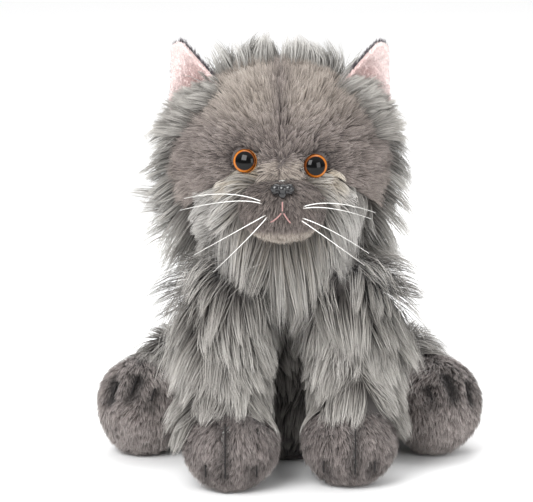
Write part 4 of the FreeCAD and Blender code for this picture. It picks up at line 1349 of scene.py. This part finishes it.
def make_whiskers(name, side):
    """Four stiff nylon whiskers, tapered to fine tips."""
    vertices, faces = [], []
    segments = 8
    angles = np.linspace(0, 2 * math.pi, segments, endpoint=False)
    for whisker in WHISKERS[name]:
        line = whisker_line(side, whisker)
        tangents = unit(np.gradient(line, axis=0))
        first = unit(np.cross(tangents, UP))
        second = np.cross(tangents, first)
        radius = np.linspace(0.36, 0.12, len(line))[:, None, None] * MM
        rings = line[:, None, :] + radius * (
            np.cos(angles)[None, :, None] * first[:, None, :] + np.sin(angles)[None, :, None] * second[:, None, :]
        )
        start = len(vertices)
        vertices += [tuple(v) for v in rings.reshape(-1, 3)]
        faces += ring_faces(len(line), segments, start)
        faces.append(tuple(range(start, start + segments)))
        faces.append(tuple(range(len(vertices) - 1, len(vertices) - 1 - segments, -1)))
    made = mesh_object(f"{name}_whisker_set", vertices, faces, WHISKER)
    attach(made, "head")
    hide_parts(f"{name}_whiskers")


# ---- finishes of the CAD pieces that stay


def paint_frame():
    """Gives every CAD piece the finish that its name's ending asks for."""
    finishes = {
        "filling": FIBRE, "seat_panel": BASE_CLOTH, "pellet_bag": POUCH, "washer": WASHER, "toe_stitches": DARK_THREAD,
        "mouth_stitching": PINK_THREAD, "lens": LENS, "pupil": BLACK_GLOSS, "iris": IRIS, "nose": NOSE_GLOSS,
        "whiskers": WHISKER, "ear_lining": PINK_SKIN, "ear_back": EAR_SKIN, "paw_cover": PAW_SKIN,
        "face_cover": FACE_SKIN, "muzzle_cover": FACE_SKIN, "cover": LONG_SKIN,
    }
    for name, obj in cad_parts.items():
        finish = next(material for ending, material in finishes.items() if name.endswith(ending))
        obj.data.materials.clear()
        obj.data.materials.append(finish)


paint_frame()
make_torso()
for side_name, side_sign in SIDES.items():
    make_front_leg(side_name, side_sign)
    make_hind_leg(side_name, side_sign)
make_tail()
make_ruff(make_face())
make_head_back()
make_muzzle()
for side_name, side_sign in SIDES.items():
    make_ear(side_name, side_sign)
    make_ear_tufts(side_name, side_sign)
    make_eye(side_name, side_sign)
    make_whiskers(side_name, side_sign)
make_nose()

# ---- camera, light and floor


def studio_world():
    """Soft white surroundings, dimmer in front of the cat than behind and above it."""
    world = bpy.data.worlds.new("studio")
    world.use_nodes = True
    tree = world.node_tree
    place = tree.nodes.new("ShaderNodeTexCoord")
    height = tree.nodes.new("ShaderNodeVectorMath")
    height.operation = "DOT_PRODUCT"
    height.inputs[1].default_value = (0, 0.35, 0.65)
    tree.links.new(place.outputs["Generated"], height.inputs[0])
    shade = ramp(tree, height.outputs["Value"], [(0.0, (0.30, 0.30, 0.31)), (0.35, (1.0, 1.0, 1.0))])
    tree.links.new(shade, tree.nodes["Background"].inputs["Color"])
    tree.nodes["Background"].inputs["Strength"].default_value = 1.0
    return world


def area_light(name, place, size, power):
    """A soft box that points at the middle of the cat."""
    data = bpy.data.lights.new(name, "AREA")
    data.shape = "RECTANGLE"
    data.size, data.size_y = size
    data.energy = power
    made = bpy.data.objects.new(name, data)
    made.location = place
    made.rotation_euler = (Vector((0, 0, 0.15)) - Vector(place)).to_track_quat("-Z", "Y").to_euler()
    bpy.context.scene.collection.objects.link(made)


def floor_material():
    material, tree, shader = principled("studio_floor")
    shade = ramp(tree, noise(tree, 3.0), [(0.3, (0.93, 0.93, 0.93)), (0.7, (0.95, 0.95, 0.95))])
    tree.links.new(shade, shader.inputs["Base Color"])
    shader.inputs["Roughness"].default_value = 0.9
    return material


def studio():
    """Soft white light, a long lens from slightly above, and a pale floor."""
    scene = bpy.context.scene
    scene.view_settings.view_transform = "Standard"
    scene.world = studio_world()
    area_light("key", (-0.7, -1.3, 1.2), (1.0, 1.1), 33)
    area_light("fill", (1.2, -1.4, 0.6), (0.8, 1.0), 12)
    area_light("top", (0.1, 0.5, 1.6), (1.4, 1.0), 13)

    data = bpy.data.cameras.new("camera")
    data.lens = 287
    data.sensor_width = 36
    camera = bpy.data.objects.new("camera", data)
    distance, elevation = 3.0, math.radians(12)
    target = Vector((-0.0163, 0, 0.1455))
    camera.location = target + Vector((0, -math.cos(elevation), math.sin(elevation))) * distance
    camera.rotation_euler = (target - camera.location).to_track_quat("-Z", "Y").to_euler()
    scene.collection.objects.link(camera)
    scene.camera = camera

    corners = [(-6, -6, 0), (6, -6, 0), (6, 6, 0), (-6, 6, 0)]
    mesh_object("floor", corners, [(0, 1, 2, 3)], floor_material(), smooth=False)


studio()
